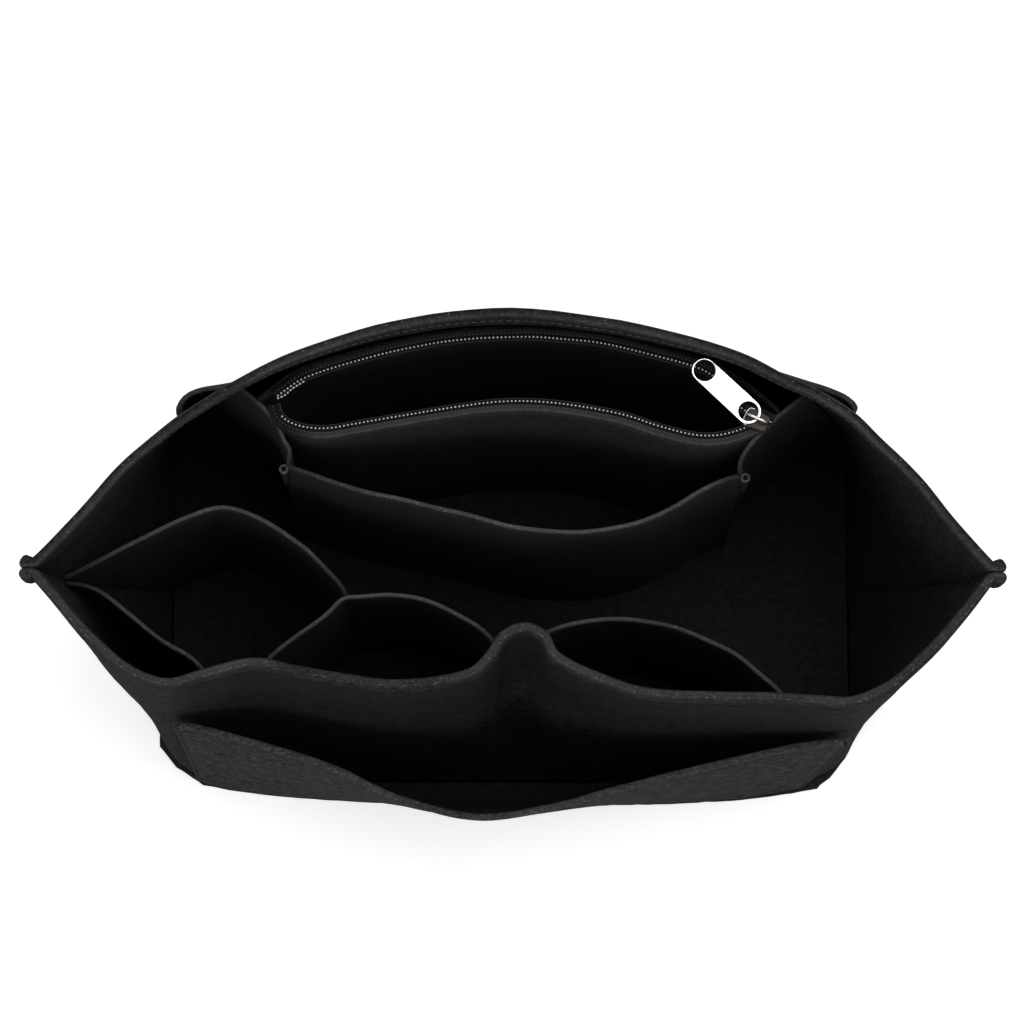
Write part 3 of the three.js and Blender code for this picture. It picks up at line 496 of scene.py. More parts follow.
def wall_skin(wall):
    """Stations round the wall's section, from the outer foot over the rim to the inner foot."""
    outer = [(FELT, share, 0.0) for share in WALL_SHARES]
    for below in SEAM_DROPS:
        ridge = sum(hump(below, at, 0.5) for at in (5.0, 7.0))
        groove = hump(below, 6.0, 0.45)
        # The ridges beside the stitch groove are paler: partly worn fibres, partly painted highlight.
        outer.append((FELT + 0.34 * ridge - 0.3 * groove, 1 - below / WALL_RISE, 0.02 + 0.25 * clamp(ridge)))
    rim = [(out, 1 - below / WALL_RISE, pales[wall["side"] > 0]) for out, below, *pales in RIM_ROUND]
    inner = [(0, share, 0.05) for share in reversed(WALL_SHARES)]
    return outer + rim + inner


def wall_rows(wall):
    rows, fuzz_light_and_shade = [], []
    for out, share, pale in wall_skin(wall):
        line = wall_line(wall, share)
        run = run_along(line)
        hemmed = clamp((share - HEM_SHARE) / 0.01)
        centre = lerp(0.85, -0.2, hemmed)
        below = (1 - share) * WALL_RISE
        # Painted shadow: the outer face is darkened from about 5 mm to 70 mm below the rim, fading out
        # towards the tips.
        shaded = clamp((below - 4.5) / 3) * clamp((70 - below) / 25)
        depth = wall["depth"] * (out > 1) * shaded
        tuck = 2.6 if out > centre else 1.1
        outs, points = [], []
        for distance in (min(r, run[-1] - r) for r in run):
            rounded = round_off(distance, tuck)
            bead = 1.1 * hump(distance, 2.0, 2.1) * clamp((share - 0.8) / 0.12) * (out > centre)
            outs.append((centre + (out + bead - centre) * rounded) * wall["side"])
        for point, distance in zip(beside(line, outs), run):
            close = min(distance, run[-1] - distance)
            dome = (1.6 * (1 - round_off(close, 2.4)) - 0.5 * hump(close, 3.2, 2.0)) * hemmed
            points.append(Vector((point.x, point.y, wall_height(point.x, share) - dome)))
        rows.append(points)
        fuzz_light_and_shade.append([pale - depth * clamp((128 - abs(p.x)) / 14) for p in points])
    return rows, fuzz_light_and_shade


wall_surfaces = {}
for wall, name in ((FRONT_WALL, "front"), (BACK_WALL, "back")):
    wall_surfaces[name], wear_light_and_shade = wall_rows(wall)
    felt_wall = cloth(f"{name}_wall_felt", wall_surfaces[name], wear_light_and_shade, wall_felt)
    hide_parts(f"{name}_panel", f"{name}_rim_hem")

# %% [markdown]
# The rims are folded and sewn down, so a row of stitches runs in a groove six millimetres below them. A
# stitch is a short rounded block sunk into the felt. Hundreds of them are seen only as a row, so each
# is a bevelled cube. The felt is also full of lint, which shows as single pale specks.

# %% Stitches along the rims
def round_edges(work, edges, offset, segments):
    bmesh.ops.bevel(
        work, geom=edges, offset=offset, segments=segments, profile=0.5, affect="EDGES", material=-1,
    )


def seam(name, row, pitch, size, material, skip=-1.0):
    """Stitches along a row of points, fewer of them for a higher `skip`."""
    work = bmesh.new()
    spots = spread(row, int(run_along(row)[-1] / pitch))
    for a, b in zip(spots, spots[1:]):
        if noise.noise(a * 0.37) < skip:
            continue
        at = Matrix.Translation(to_metres(drape(a.lerp(b, 0.5))))
        turn = (b - a).to_track_quat("X", "Z").to_matrix().to_4x4()
        bmesh.ops.create_cube(work, size=1, matrix=at @ turn @ Matrix.Diagonal((*size, 1)))
    round_edges(work, work.edges[:], min(size) * 0.28, 1)
    print(name, len(work.faces) // 26, "stitches")
    return finish_piece(name, work, [material])


STITCH, SPECK = (0.0022, 0.0005, 0.0005), (0.0006, 0.0004, 0.0003)
RIM_PITCH, SPECK_PITCH = 3.2, 2.9
SPECKS_LEFT_OUT = {"front": 0.12, "back": 0.3}
for name, surface in wall_surfaces.items():
    outside, inside = surface[RIM_STITCHES][8:-8], surface[HEM_STITCHES][26:-26]
    for part, row, pitch, size, thread, skip in (
        ("stitches", outside, RIM_PITCH, STITCH, black_thread, -1.0),
        ("hem_stitches", inside, RIM_PITCH, STITCH, black_thread, -1.0),
        ("specks", surface[RIM_SPECKS][8:-8], SPECK_PITCH, SPECK, lint_and_glint_thread, SPECKS_LEFT_OUT[name]),
    ):
        seam(f"{name}_rim_{part}", row, pitch, size, thread, skip)

# %% [markdown]
# ## The base
# The floor is one stiff, thick piece of felt. Its corners are cut off, its front edge bows out a
# little, and a narrow ledge of it stands out past the walls, where it is sewn to them. A flat outline,
# pushed up and with both edges rounded, is all that it needs.

# %% Base panel
def front_bow(x):
    share = abs(x) / (BASE_HALF_LENGTH - BASE_CORNER)
    return BASE_BOW * (1 - share**2) - 2.2 * share**7 + 1.4 * clamp((x - 5) / 80)


def base_outline(wear=0.8):
    """The outline, with the small dents of a felt edge that was cut by hand."""
    straight = BASE_HALF_LENGTH - BASE_CORNER
    front = [(straight * i / 12, -BASE_FRONT - front_bow(straight * i / 12)) for i in range(-12, 13)]
    corners = [Vector(p) for p in (
        *front, (121.9, -55.8), (126.0, -53.0), (128.6, -49.6), (132.2, -45.4), (134.8, -39.8),
        (136.6, -32), (BASE_HALF_LENGTH, -20), (BASE_HALF_LENGTH, BASE_BACK - BASE_CORNER),
        (straight, BASE_BACK), (-straight, BASE_BACK), (-BASE_HALF_LENGTH, BASE_BACK - BASE_CORNER),
        (-138.2, -30), (-138.6, -40.6), (-134.9, -44.7), (-131.7, -48.7), (-125.7, -52.6),
    )]
    outline = []
    for a, b in zip(corners, [*corners[1:], corners[0]]):
        steps = max(round((b - a).length / 3.5), 1)
        outline += [a.lerp(b, i / steps) for i in range(steps)]
    dents = [abs(noise.noise(Vector((p.x, p.y, 0)) * 0.11)) for p in outline]
    return [p - p.normalized() * wear * dent for p, dent in zip(outline, dents)]


work = bmesh.new()
floor_face = work.faces.new([work.verts.new(to_metres((p.x, p.y, 0))) for p in base_outline()])
pushed = bmesh.ops.extrude_face_region(work, geom=[floor_face])
raised = [item for item in pushed["geom"] if isinstance(item, bmesh.types.BMVert)]
bmesh.ops.translate(work, verts=raised, vec=(0, 0, BASE_FELT / 1000))
level = [e for e in work.edges if abs(e.verts[0].co.z - e.verts[1].co.z) < 1e-6]
round_edges(work, level, 0.0009, 3)
bmesh.ops.recalc_face_normals(work, faces=work.faces)
wear_light_and_shade = work.verts.layers.float.new("fuzz_light_and_shade")
for vert in work.verts:
    vert[wear_light_and_shade] = 0.2 if 0.0003 < vert.co.z < 0.0022 else 0.0
base_felt = finish_piece("base_felt", work, [floor_felt])
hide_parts("base_panel")
print("base_felt", len(base_felt.data.polygons), "faces")

# %% [markdown]
# ## The outer pockets
# On each long side a sheet of felt is sewn to the wall along its foot and its two short edges. Its lip
# is longer than the wall behind it, so it flops outwards. The lip is folded and sewn down, which leaves
# a groove along its stitches and soft ridges below, and its short edges are bound and stand up too.

# %% Where the pockets lie against the walls
OUTER_POCKET_HEIGHT, OUTER_POCKET_HALF_WIDTH = 105.0, 126.0
FRONT_LIP_SHARES = [
    (-1, -0.575), (-0.84, -0.63), (-0.55, -0.765), (-0.355, -0.9), (-0.16, -0.99), (0, -0.99),
    (0.29, -0.885), (0.585, -0.77), (0.8, -0.695), (1, -0.65),
]
BACK_LIP_SHARES = [
    (-0.988, 0.676), (-0.989, 0.705), (-0.98, 0.728), (-0.96, 0.749), (-0.93, 0.763), (-0.87, 0.775),
    (-0.8, 0.793), (-0.7, 0.827), (-0.45, 0.93), (0, 0.985), (0.45, 0.945), (0.7, 0.857), (0.85, 0.803),
    (0.96, 0.76), (1.01, 0.732), (1.035, 0.7),
]
EDGE_STOPS = [0, 0.15, 0.5, 1.0, 1.6, 2.3, 2.9, 3.4, 3.8, 4.6]


def outermost(wall, x, share):
    """How far out the wall's outer face lies at x."""
    face = beside(wall_line(wall, share), FELT * wall["side"])
    runs = [(a, b) for a, b in zip(face, face[1:]) if min(a.x, b.x) <= x <= max(a.x, b.x) and a.x != b.x]
    crossings = [lerp(a.y, b.y, (x - a.x) / (b.x - a.x)) for a, b in runs]
    return max(crossings, key=lambda y: y * wall["side"])


LIP_DROPS = [
    0.0, 0.25, 0.7, 1.3, 2.0, 2.6, 3.3, 3.8, 4.25, 4.7, 5.2, 5.8, 6.5, 7.2, 8, 8.8, 9.3, 9.8, 10.3, 11,
    11.7, 12.2, 12.7, 13.6, 14.5, 15, 15.5, 17, 20, 30, 42, 54, 66, 78, 88, 95, 100,
    OUTER_POCKET_HEIGHT - FOOT,
]
LIP_STITCHES = len(LIP_DROPS) - 1 - LIP_DROPS.index(4.25)
# [below the lip, how high]
LIP_RIDGES = [(3.3, 0.4), (5.2, 0.34), (7.2, 0.16), (9.8, 0.16), (12.2, 0.13), (15, 0.1)]
# [outwards, below the lip, how pale]
LIP_INSIDE = [(0.35, -0.12, 0.4), (-0.05, 0.1, 0.35), (-0.25, 0.5, 0.3), (-0.3, 1.1, 0.2), (-0.25, 2, 0.1)]
POCKET_BELLY, WALL_CLEARANCE = 2.2, 0.35


def pocket_rows(wall, lip_shares, reach, base_edge, flare, corner, pull):
    """Rows round an outer pocket, from its inner foot over the lip to its outer foot."""
    side = wall["side"]
    half_foot = BASE_HALF_LENGTH - BASE_CORNER
    lip = smooth_line([(x * OUTER_POCKET_HALF_WIDTH, y * reach) for x, y in lip_shares], 8)
    foot = []
    for x in (share * half_foot for share, _ in lip_shares):
        bow = front_bow(clamp(x, -half_foot, half_foot)) - 1.8 * clamp((-x - 100) / 20) if side < 0 else 0
        foot.append((x - lerp(*pull, clamp(x / half_foot)), side * (base_edge + bow)))
    foot = smooth_line(foot, 8)
    rise = OUTER_POCKET_HEIGHT - FOOT
    stations = []
    for drop in reversed(LIP_DROPS):
        thick = POCKET_FELT + flare * hump(drop, 0, 2.6) - 0.7 * hump(drop, 0, 0.35)
        ridge = sum(high * hump(drop, at, 0.55) for at, high in LIP_RIDGES)
        hollow = -0.28 * hump(drop, 4.25, 0.5)
        # The lip and its soft ridges are paler, partly worn fibres and partly painted highlight; the stitch
        # groove is darker, painted shade.
        pale = 0.36 * hump(drop, 0, 1.8) + 0.42 * ridge + 0.3 * hollow + 0.02
        stations.append((thick + ridge + hollow, drop, min(pale, 1)))
    stations += LIP_INSIDE + [(0, drop, 0.0) for drop in LIP_DROPS if drop > 3]
    rows, fuzz_light_and_shade = [], []
    for out, drop, pale in stations:
        share = 1 - drop / rise
        line = [f.lerp(l, share) for f, l in zip(foot, lip)]
        belly = math.sin(math.pi * clamp(share)) * POCKET_BELLY
        bowed = [1 - (p.x / OUTER_POCKET_HALF_WIDTH) ** 2 * 0.99 for p in line]
        line = [Vector((p.x, p.y + side * belly * bow)) for p, bow in zip(line, bowed)]
        wall_share = clamp((OUTER_POCKET_HEIGHT - drop - FOOT) / WALL_RISE)
        lain = []
        for p in line:
            against = outermost(wall, p.x, wall_share) * side + WALL_CLEARANCE
            lain.append(Vector((p.x, side * max(p.y * side - POCKET_FELT, against))))
        lain = spread(lain, 120, EDGE_STOPS)
        run = run_along(lain)
        outs, pales, sinks = [], [], []
        for distance in (min(r, run[-1] - r) for r in run):
            band = 0.8 * flare * clamp((3.7 - distance) / 0.8) * (out > 0.6) * clamp((rise - drop) / 9)
            outs.append(side * lerp(0.5, out + band, round_off(distance, 0.9)))
            # Along the bound short edges: two pale lines, partly worn and partly painted highlight, with
            # painted shade in the dip between them.
            bound = 0.28 * hump(distance, 0.4, 0.6) + 0.3 * hump(distance, 3.3, 0.45)
            bound -= 0.4 * hump(distance, 1.9, 0.7)
            pales.append(pale + bound * (out > 0.6))
            sinks.append(corner * (1 - round_off(distance, corner)) * (1 - drop / rise))
        top = OUTER_POCKET_HEIGHT - drop
        rows.append([Vector((p.x, p.y, top - sink)) for p, sink in zip(beside(lain, outs), sinks)])
        fuzz_light_and_shade.append(pales)
    return rows, fuzz_light_and_shade


# %% Both outer pockets
FRONT_LIP_REACH, BACK_LIP_REACH, LIP_PITCH, LIP_SPECK_PITCH = 83.0, 106.0, 3.4, 2.3
# [name, wall, lip, its reach, the base's edge, flare of the lip, round of its corners, foot's pull]
outer_pockets = (
    ("front", FRONT_WALL, FRONT_LIP_SHARES, FRONT_LIP_REACH, BASE_FRONT, 0.9, 1.5, (1.5, 6.5)),
    ("back", BACK_WALL, BACK_LIP_SHARES, BACK_LIP_REACH, BASE_BACK, 0.3, 7.0, (0, 0)),
)
for name, wall, *sizes in outer_pockets:
    rows, wear_light_and_shade = pocket_rows(wall, *sizes)
    outer_pocket = cloth(f"{name}_outer_pocket_felt", rows, wear_light_and_shade, pocket_felt)
    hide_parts(f"{name}_outer_pocket")
    lip = rows[LIP_STITCHES][9:-9]
    stitches = seam(f"{name}_lip_stitches", lip, LIP_PITCH, STITCH, black_thread)
    # Pale specks along the stitch row: painted highlights on the stitches.
    specks = seam(f"{name}_lip_specks", lip, LIP_SPECK_PITCH, SPECK, lint_and_glint_thread, 0.05)

# %% [markdown]
# ## Strips that stand inside
# The slip pocket, the gussets, the round holder and the two small pockets are all single strips that
# stand on edge. One helper makes them: it takes the plan line at every height, which stops at the walls
# where the strip is sewn to them, and wraps a rounded lip round the top.

# %% Standing strips
def wall_at(wall, height, gap=0.25):
    """The wall's inner face at a height, seen from inside."""
    share = clamp((height - FOOT) / WALL_RISE)
    return beside(wall_line(wall, share), -wall["side"] * gap)


def strip_skin(thick, top, lip_pale):
    """Stations round a strip's section: [sideways, height, how pale]."""
    half = thick / 2
    between_ends = (lerp(FOOT + 8, top - 8, i / 9) for i in range(1, 10))
    heights = [FOOT, FOOT + 2, FOOT + 8, *between_ends, top - 4, top - 2]
    lip = [(0.0, half * 1.06, 0.4), (0.5, half * 0.93, 0.7), (0.8, half * 0.7, 0.95), (0.97, half * 0.35, 1)]
    near = [(-half, z, 0.05 if z < top - 5 else 0.15) for z in heights]
    over = [(-w, top - half + half * rise, p * lip_pale) for rise, w, p in lip]
    far = [(-out, z, pale) for out, z, pale in reversed(near + over)]
    return near + over + [(0, top, lip_pale)] + far


def standing_strip(name, node_names, line_at, thick, top, columns=70, lip_pale=0.85):
    rows, fuzz_light_and_shade = [], []
    for out, height, pale in strip_skin(thick, top, lip_pale):
        line = spread(line_at(height), columns, (0, 0.3, 0.8, 1.5, 3))
        rows.append([Vector((p.x, p.y, height)) for p in beside(line, out)])
        run = run_along(line)
        # The lip's pale band is partly worn fibres and partly painted highlight; it fades within 20 mm of
        # either end, as painted shade where the strip meets the walls.
        fuzz_light_and_shade.append([pale * lerp(0.12, 1, clamp(min(r, run[-1] - r) / 20)) for r in run])
    piece = cloth(name, rows, fuzz_light_and_shade, lining_felt)
    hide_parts(*node_names)
    return piece


def between(line, first, last):
    """The line kept between two barriers: the first one cuts its start and the last one its end."""
    middle = len(line) // 2
    start = cut_at(list(reversed(line[: middle + 1])), first)
    end = cut_at(line[middle:], last)
    return [*reversed(start), *end[1:]]


def within_walls(line, z, cut_end=True):
    """The line kept inside both walls at a height."""
    for wall in (FRONT_WALL, BACK_WALL):
        barrier = wall_at(wall, z)
        if cut_end:
            line = between(line, barrier, barrier)
        else:
            line = list(reversed(cut_at(list(reversed(line)), barrier)))
    return line


# %% [markdown]
# The slip pocket hangs forward of the zip pocket in a shallow bow. Its two corners end in small rolled
# nubs, where the cloth is folded back and sewn through the gussets.

# %% Slip pocket
ZIP_HEIGHT, ZIP_CENTRE = HEIGHT - 18.0, 1.0
ZIP_HALF_SPAN, ZIP_RISE = RIM_HALF_LENGTH * 0.513, 27.0
TAPE, TAPE_LEG = 0.6, 2.2
PANEL_BEHIND = TAPE_LEG + TAPE + LAYER_GAP
RIM_HEM, WALL_GAP, RAISED_PULL = 2.0, 0.6, 2.75
ZIP_APEX = RIM_BACK - RIM_HEM - WALL_GAP - RAISED_PULL
ZIP_END_BACK = ZIP_APEX - ZIP_RISE
BACK_POCKET_TOP = ZIP_HEIGHT - 3.5
SLIP_SHARES = [
    (-0.962, 0.035), (-0.943, 0.029), (-0.853, -0.075), (-0.767, -0.196), (-0.638, -0.333),
    (-0.48, -0.467), (-0.24, -0.68), (0, -0.91), (0.13, -0.98), (0.26, -1), (0.4, -0.95), (0.54, -0.81),
    (0.67, -0.59), (0.81, -0.28), (0.92, -0.12), (0.955, -0.12),
]
SLIP_CORNER, SLIP_DEPTH = 42.5, 24
slip_points = [(ZIP_CENTRE + x * ZIP_HALF_SPAN, SLIP_CORNER + y * SLIP_DEPTH) for x, y in SLIP_SHARES]
slip_line = smooth_line(slip_points, 5)
standing_strip(
    "slip_pocket_felt", ["slip_pocket_front"], lambda z: slip_line, POCKET_FELT, BACK_POCKET_TOP, columns=90,
)


# %% Rolled nubs at the slip pocket's corners
def rolled(name, path, radii, material, body="organizer", sides=14, pales=None, swayed=True, upright=False):
    """A round roll along a path: a circle pushed from point to point, closed at both ends."""
    work = bmesh.new()
    wear_light_and_shade = work.verts.layers.float.new("fuzz_light_and_shade")
    ring = bmesh.ops.create_circle(work, segments=sides, radius=1)["verts"]
    edges, section, facing = work.edges[:], [vert.co.copy() for vert in ring], Vector((0, 0, 1))
    for i, (point, radius) in enumerate(zip(path, radii)):
        if i:
            grown = bmesh.ops.extrude_edge_only(work, edges=edges)["geom"]
            ring = [item for item in grown if isinstance(item, bmesh.types.BMVert)]
            edges = [item for item in grown if isinstance(item, bmesh.types.BMEdge)]
            edges = [edge for edge in edges if all(v in ring for v in edge.verts)]
        direction = (path[min(i + 1, len(path) - 1)] - path[max(i - 1, 0)]).normalized()
        if not upright:
            turned = facing.rotation_difference(direction).to_matrix()
            section, facing = [turned @ spot for spot in section], direction
        centre = drape(point) if swayed else point
        for vert, spot in zip(ring, section):
            vert.co = to_metres(centre + spot * radius)
            vert[wear_light_and_shade] = pales[i] if pales else 0.6
    bmesh.ops.holes_fill(work, edges=[e for e in work.edges if e.is_boundary], sides=0)
    bmesh.ops.recalc_face_normals(work, faces=work.faces)
    return finish_piece(name, work, [material], body)


# [above the slip pocket's lip, radius, how pale]; below zero is painted shade, low on the nub and at its
# tucked end
NUB = [
    (-26, 1.1, -0.4), (-12, 1.4, -0.3), (-4, 1.6, -0.1), (-1.4, 1.8, 0.2), (-0.5, 1.85, 0.6),
    (-0.1, 1.65, 0.9), (0.05, 1.3, 0.8), (-0.1, 0.9, 0.2), (-0.5, 0.6, -0.5), (-0.9, 0.3, -0.8),
]
NUB_PLACES = (("left", -84.2, 42.5), ("right", 86.4, 39.3))
for name, x, y in NUB_PLACES:
    path = [Vector((x, y, BACK_POCKET_TOP + above)) for above, _, _ in NUB]
    radii, pales = [radius for _, radius, _ in NUB], [pale for _, _, pale in NUB]
    nub = rolled(f"slip_nub_{name}", path, radii, lining_felt, pales=pales, upright=True)
print("nubs at", [round(v, 1) for v in slip_line[0]], [round(v, 1) for v in slip_line[-1]])

# %% [markdown]
# The tips show the holes where a needle went through. Each is a short roll painted black, as painted shade
# for the inside of the hole, as high as the cloth's skin beside its place. Three of them stand in the rim.
# The inner one at the left comes out lower, inside the felt, and doesn't show.

# %% Needle holes where the two walls are sewn together
def on_top(surface, x, y):
    """A plan place, at the height of the highest of the six points of the skin nearest to it."""
    near = sorted((p for row in surface for p in row), key=lambda p: (p.xy - Vector((x, y))).length)
    return Vector((x, y, max(p.z for p in near[:6])))


# [name, wall, x, y]
NEEDLE_HOLES = (
    ("left_back", "back", -176.7, 3.9), ("left_front", "front", -176.8, -0.2),
    ("left_inner", "front", -171.7, -1.4), ("right_back", "back", 177.3, 1.7),
)
HOLE_HEIGHTS, HOLE_RADII, HOLE_SHADE = (-0.8, -0.1, 0.05), [0.42, 0.42, 0.3], [-1, -1, -1]
for name, side, x, y in NEEDLE_HOLES:
    top = on_top(wall_surfaces[side], x, y)
    path = [top + Vector((0, 0, z)) for z in HOLE_HEIGHTS]
    hole = rolled(f"needle_hole_{name}", path, HOLE_RADII, wall_felt, pales=HOLE_SHADE, upright=True)

# %% [markdown]
# The gussets are the short side pieces of the zip pocket. They run from the slip pocket's corners back
# to the wall, and they fan outwards as a folded bellows does.

# %% Gussets
GUSSET_REACH = 28
LEFT_GUSSET_SHARES = [
    (-0.15, -0.79), (-0.16, -0.705), (-0.171, -0.541), (-0.096, -0.409), (-0.024, -0.227),
    (0.179, 0.034), (0.415, 0.23),
]
RIGHT_GUSSET_SHARES = [
    (-0.155, -0.86), (-0.155, -0.7), (-0.03, -0.475), (0.165, -0.26), (0.335, -0.09), (0.56, 0.09),
]


def gusset_line(shares, side):
    """From the slip pocket's corner to well behind the back wall."""
    points = []
    for out, back in shares:
        x = ZIP_CENTRE + side * (ZIP_HALF_SPAN + out * GUSSET_REACH)
        points.append(Vector((x, ZIP_END_BACK + back * GUSSET_REACH)))
    past = points[-1] + (points[-1] - points[-2]).normalized() * 70
    return [*smooth_line(points, 5), past]


gusset_lines = {"left": gusset_line(LEFT_GUSSET_SHARES, -1), "right": gusset_line(RIGHT_GUSSET_SHARES, 1)}
for name, line in gusset_lines.items():
    standing_strip(
        f"{name}_gusset_felt", [f"{name}_gusset"],
        lambda z, line=line: cut_at(line, wall_at(BACK_WALL, z)),
        POCKET_FELT, BACK_POCKET_TOP, columns=40, lip_pale=1.0,
    )

# %% [markdown]
# ## Pockets along the front wall
# At the left two bowed strips make a round holder. Beside it a wide pocket reaches to the pleat in the
# middle of the wall, and to the right of the pleat sits a small one.

# %% Round holder and small pockets
BOTTLE_BACK_SHARES = [
    (-1.02, 0.031), (-0.945, 0.145), (-0.824, 0.378), (-0.711, 0.58), (-0.627, 0.663), (-0.542, 0.568),
    (-0.45, 0.342), (-0.402, 0.174), (-0.365, 0.021), (-0.358, -0.041),
]
BOTTLE_FRONT_SHARES = [
    (-1.02, 0.062), (-0.94, 0.052), (-0.896, 0), (-0.824, -0.192), (-0.755, -0.399), (-0.69, -0.539),
    (-0.657, -0.684), (-0.65, -0.85), (-0.65, -1.25),
]
MIDDLE_SHARES = [
    (-0.56, -1.25), (-0.56, -0.85), (-0.545, -0.642), (-0.52, -0.518), (-0.471, -0.374),
    (-0.402, -0.192), (-0.361, -0.062), (-0.331, -0.052), (-0.259, -0.031), (-0.19, -0.071),
    (-0.118, -0.192), (-0.062, -0.319), (-0.032, -0.456), (-0.025, -0.8), (-0.025, -1.25),
]
VIAL_SHARES = [
    (0.05, -1.25), (0.05, -0.8), (0.053, -0.476), (0.068, -0.362), (0.107, -0.296), (0.191, -0.239),
    (0.248, -0.231), (0.304, -0.256), (0.36, -0.304), (0.475, -0.478), (0.532, -0.647), (0.583, -0.813),
    (0.66, -1.25),
]
FRONT_POCKET_TOP = HEIGHT - 38.0


def front_pocket_line(shares):
    return smooth_line([(x * RIM_HALF_LENGTH, y * RIM_FRONT) for x, y in shares], 5)


for name, shares, cut_end in (
    ("bottle_holder_back", BOTTLE_BACK_SHARES, False), ("bottle_holder_front", BOTTLE_FRONT_SHARES, True),
    ("middle_pocket", MIDDLE_SHARES, True), ("vial_pocket", VIAL_SHARES, True),
):
    standing_strip(
        f"{name}_felt", [name],
        lambda z, line=front_pocket_line(shares), cut_end=cut_end: within_walls(line, z, cut_end),
        POCKET_FELT, FRONT_POCKET_TOP,
    )

# %% [markdown]
# ## The zip pocket
# The zip pocket is two sheets of felt, each with half a zip sewn to its lip. The back half follows an
# arc near the wall. The front half hangs open in a soft wave.

# %% The zip's two lines
BACK_ZIP = [
    (-86.8, 68.9), (-83.9, 71.2), (-78.0, 75.4), (-70.4, 78.5), (-59.1, 82.2), (-41.4, 87.1),
    (-20.0, 90.7), (0.0, 91.9), (16.0, 91.3), (32.7, 89.5), (43.6, 87.3), (54.5, 84.6), (65.3, 81.4),
    (71.5, 78.9), (77.2, 74.8), (81.6, 69.4),
]
FRONT_ZIP = [
    (-86.8, 66.2), (-86.0, 63.0), (-83.1, 59.6), (-77.1, 57.4), (-68.4, 57.0), (-59.0, 58.4),
    (-49.5, 60.1), (-41.3, 61.6), (-26.0, 64.4), (-7.8, 66.8), (12.4, 67.0), (29.0, 64.9), (43.5, 61.3),
    (54.3, 57.8), (65.1, 54.9), (70.6, 54.2), (75.8, 54.3), (82.0, 55.6), (88.4, 58.0), (92.2, 59.6),
]
SLIDER_YAW = math.radians(25)


def by_slider(ahead, back):
    """A plan point beside the slider: towards its mouth, and behind its axis."""
    c, s = math.cos(SLIDER_YAW), math.sin(SLIDER_YAW)
    return Vector((SLIDER_SEAT.x - ahead * c + back * s, SLIDER_SEAT.y + ahead * s + back * c))


through_slider = [by_slider(ahead, 2.0) for ahead in (6.35, 2.375, -2.375, -5.75)]
back_zip_line = smooth_line([*BACK_ZIP, *through_slider], 6)
lens_line = smooth_line(FRONT_ZIP, 6)
print("zip lines", round(run_along(back_zip_line)[-1], 1), round(run_along(lens_line)[-1], 1), "mm")

# %% Felt behind and in front of the zip
LINING_START, LINING_END = (-94.0, 63.2), [(73.5, 78.3), (82.0, 73.2), (91.0, 66.0), (99.0, 58.5)]
lining_lip = smooth_line([LINING_START, *BACK_ZIP[:13], *LINING_END], 5)
PANEL_TOP = ZIP_HEIGHT - TAPE
LINING_DRAW = RIM_BACK - BASE_BACK + WALL_INSET + LAYER_GAP
left_gusset, right_gusset = beside(gusset_lines["left"], -0.9), beside(gusset_lines["right"], 0.9)


def lining_at(z):
    share = (z - FOOT) / (PANEL_TOP - FOOT)
    line = [Vector((p.x, p.y - LINING_DRAW * (1 - share))) for p in lining_lip]
    return between(beside(line, PANEL_BEHIND + LINING_FELT / 2), left_gusset, right_gusset)


def zip_front_at(z):
    low = 1 - clamp((z - FOOT) / (PANEL_TOP - FOOT))
    hung = [Vector((p.x, p.y - 3.5 * low * (1 - low))) for p in lens_line]
    under_tape = clamp((z - PANEL_TOP + 14) / 10)
    hung = beside(hung, -lerp(PANEL_BEHIND + POCKET_FELT / 2, 2.3, under_tape))
    return between(hung, left_gusset, right_gusset)


lining_piece = standing_strip(
    "zip_lining_felt", ["zip_pocket_lining"], lining_at, LINING_FELT, PANEL_TOP, lip_pale=0.1, columns=90,
)
zip_front_piece = standing_strip(
    "zip_front_felt", ["zip_pocket_front"], zip_front_at, POCKET_FELT, PANEL_TOP, lip_pale=0.2, columns=90,
)

# %% [markdown]
# Each tape lies flat over the felt's lip and is folded down behind it. It is woven, and its folded edge is a
# little ragged and pale, partly worn and partly a painted highlight, so it is a thin strip with an L-shaped
# section. The back tape gets a darker copy of the cloth and a weaker pale edge, as painted shade.

# %% Zip tapes
def beside_zip(line, side, away, height):
    """The zip's line moved sideways and lifted to a height above the chain's middle."""
    amount = away if isinstance(away, list) else side * away
    return [Vector((p.x, p.y, ZIP_HEIGHT + height)) for p in beside(line, amount)]


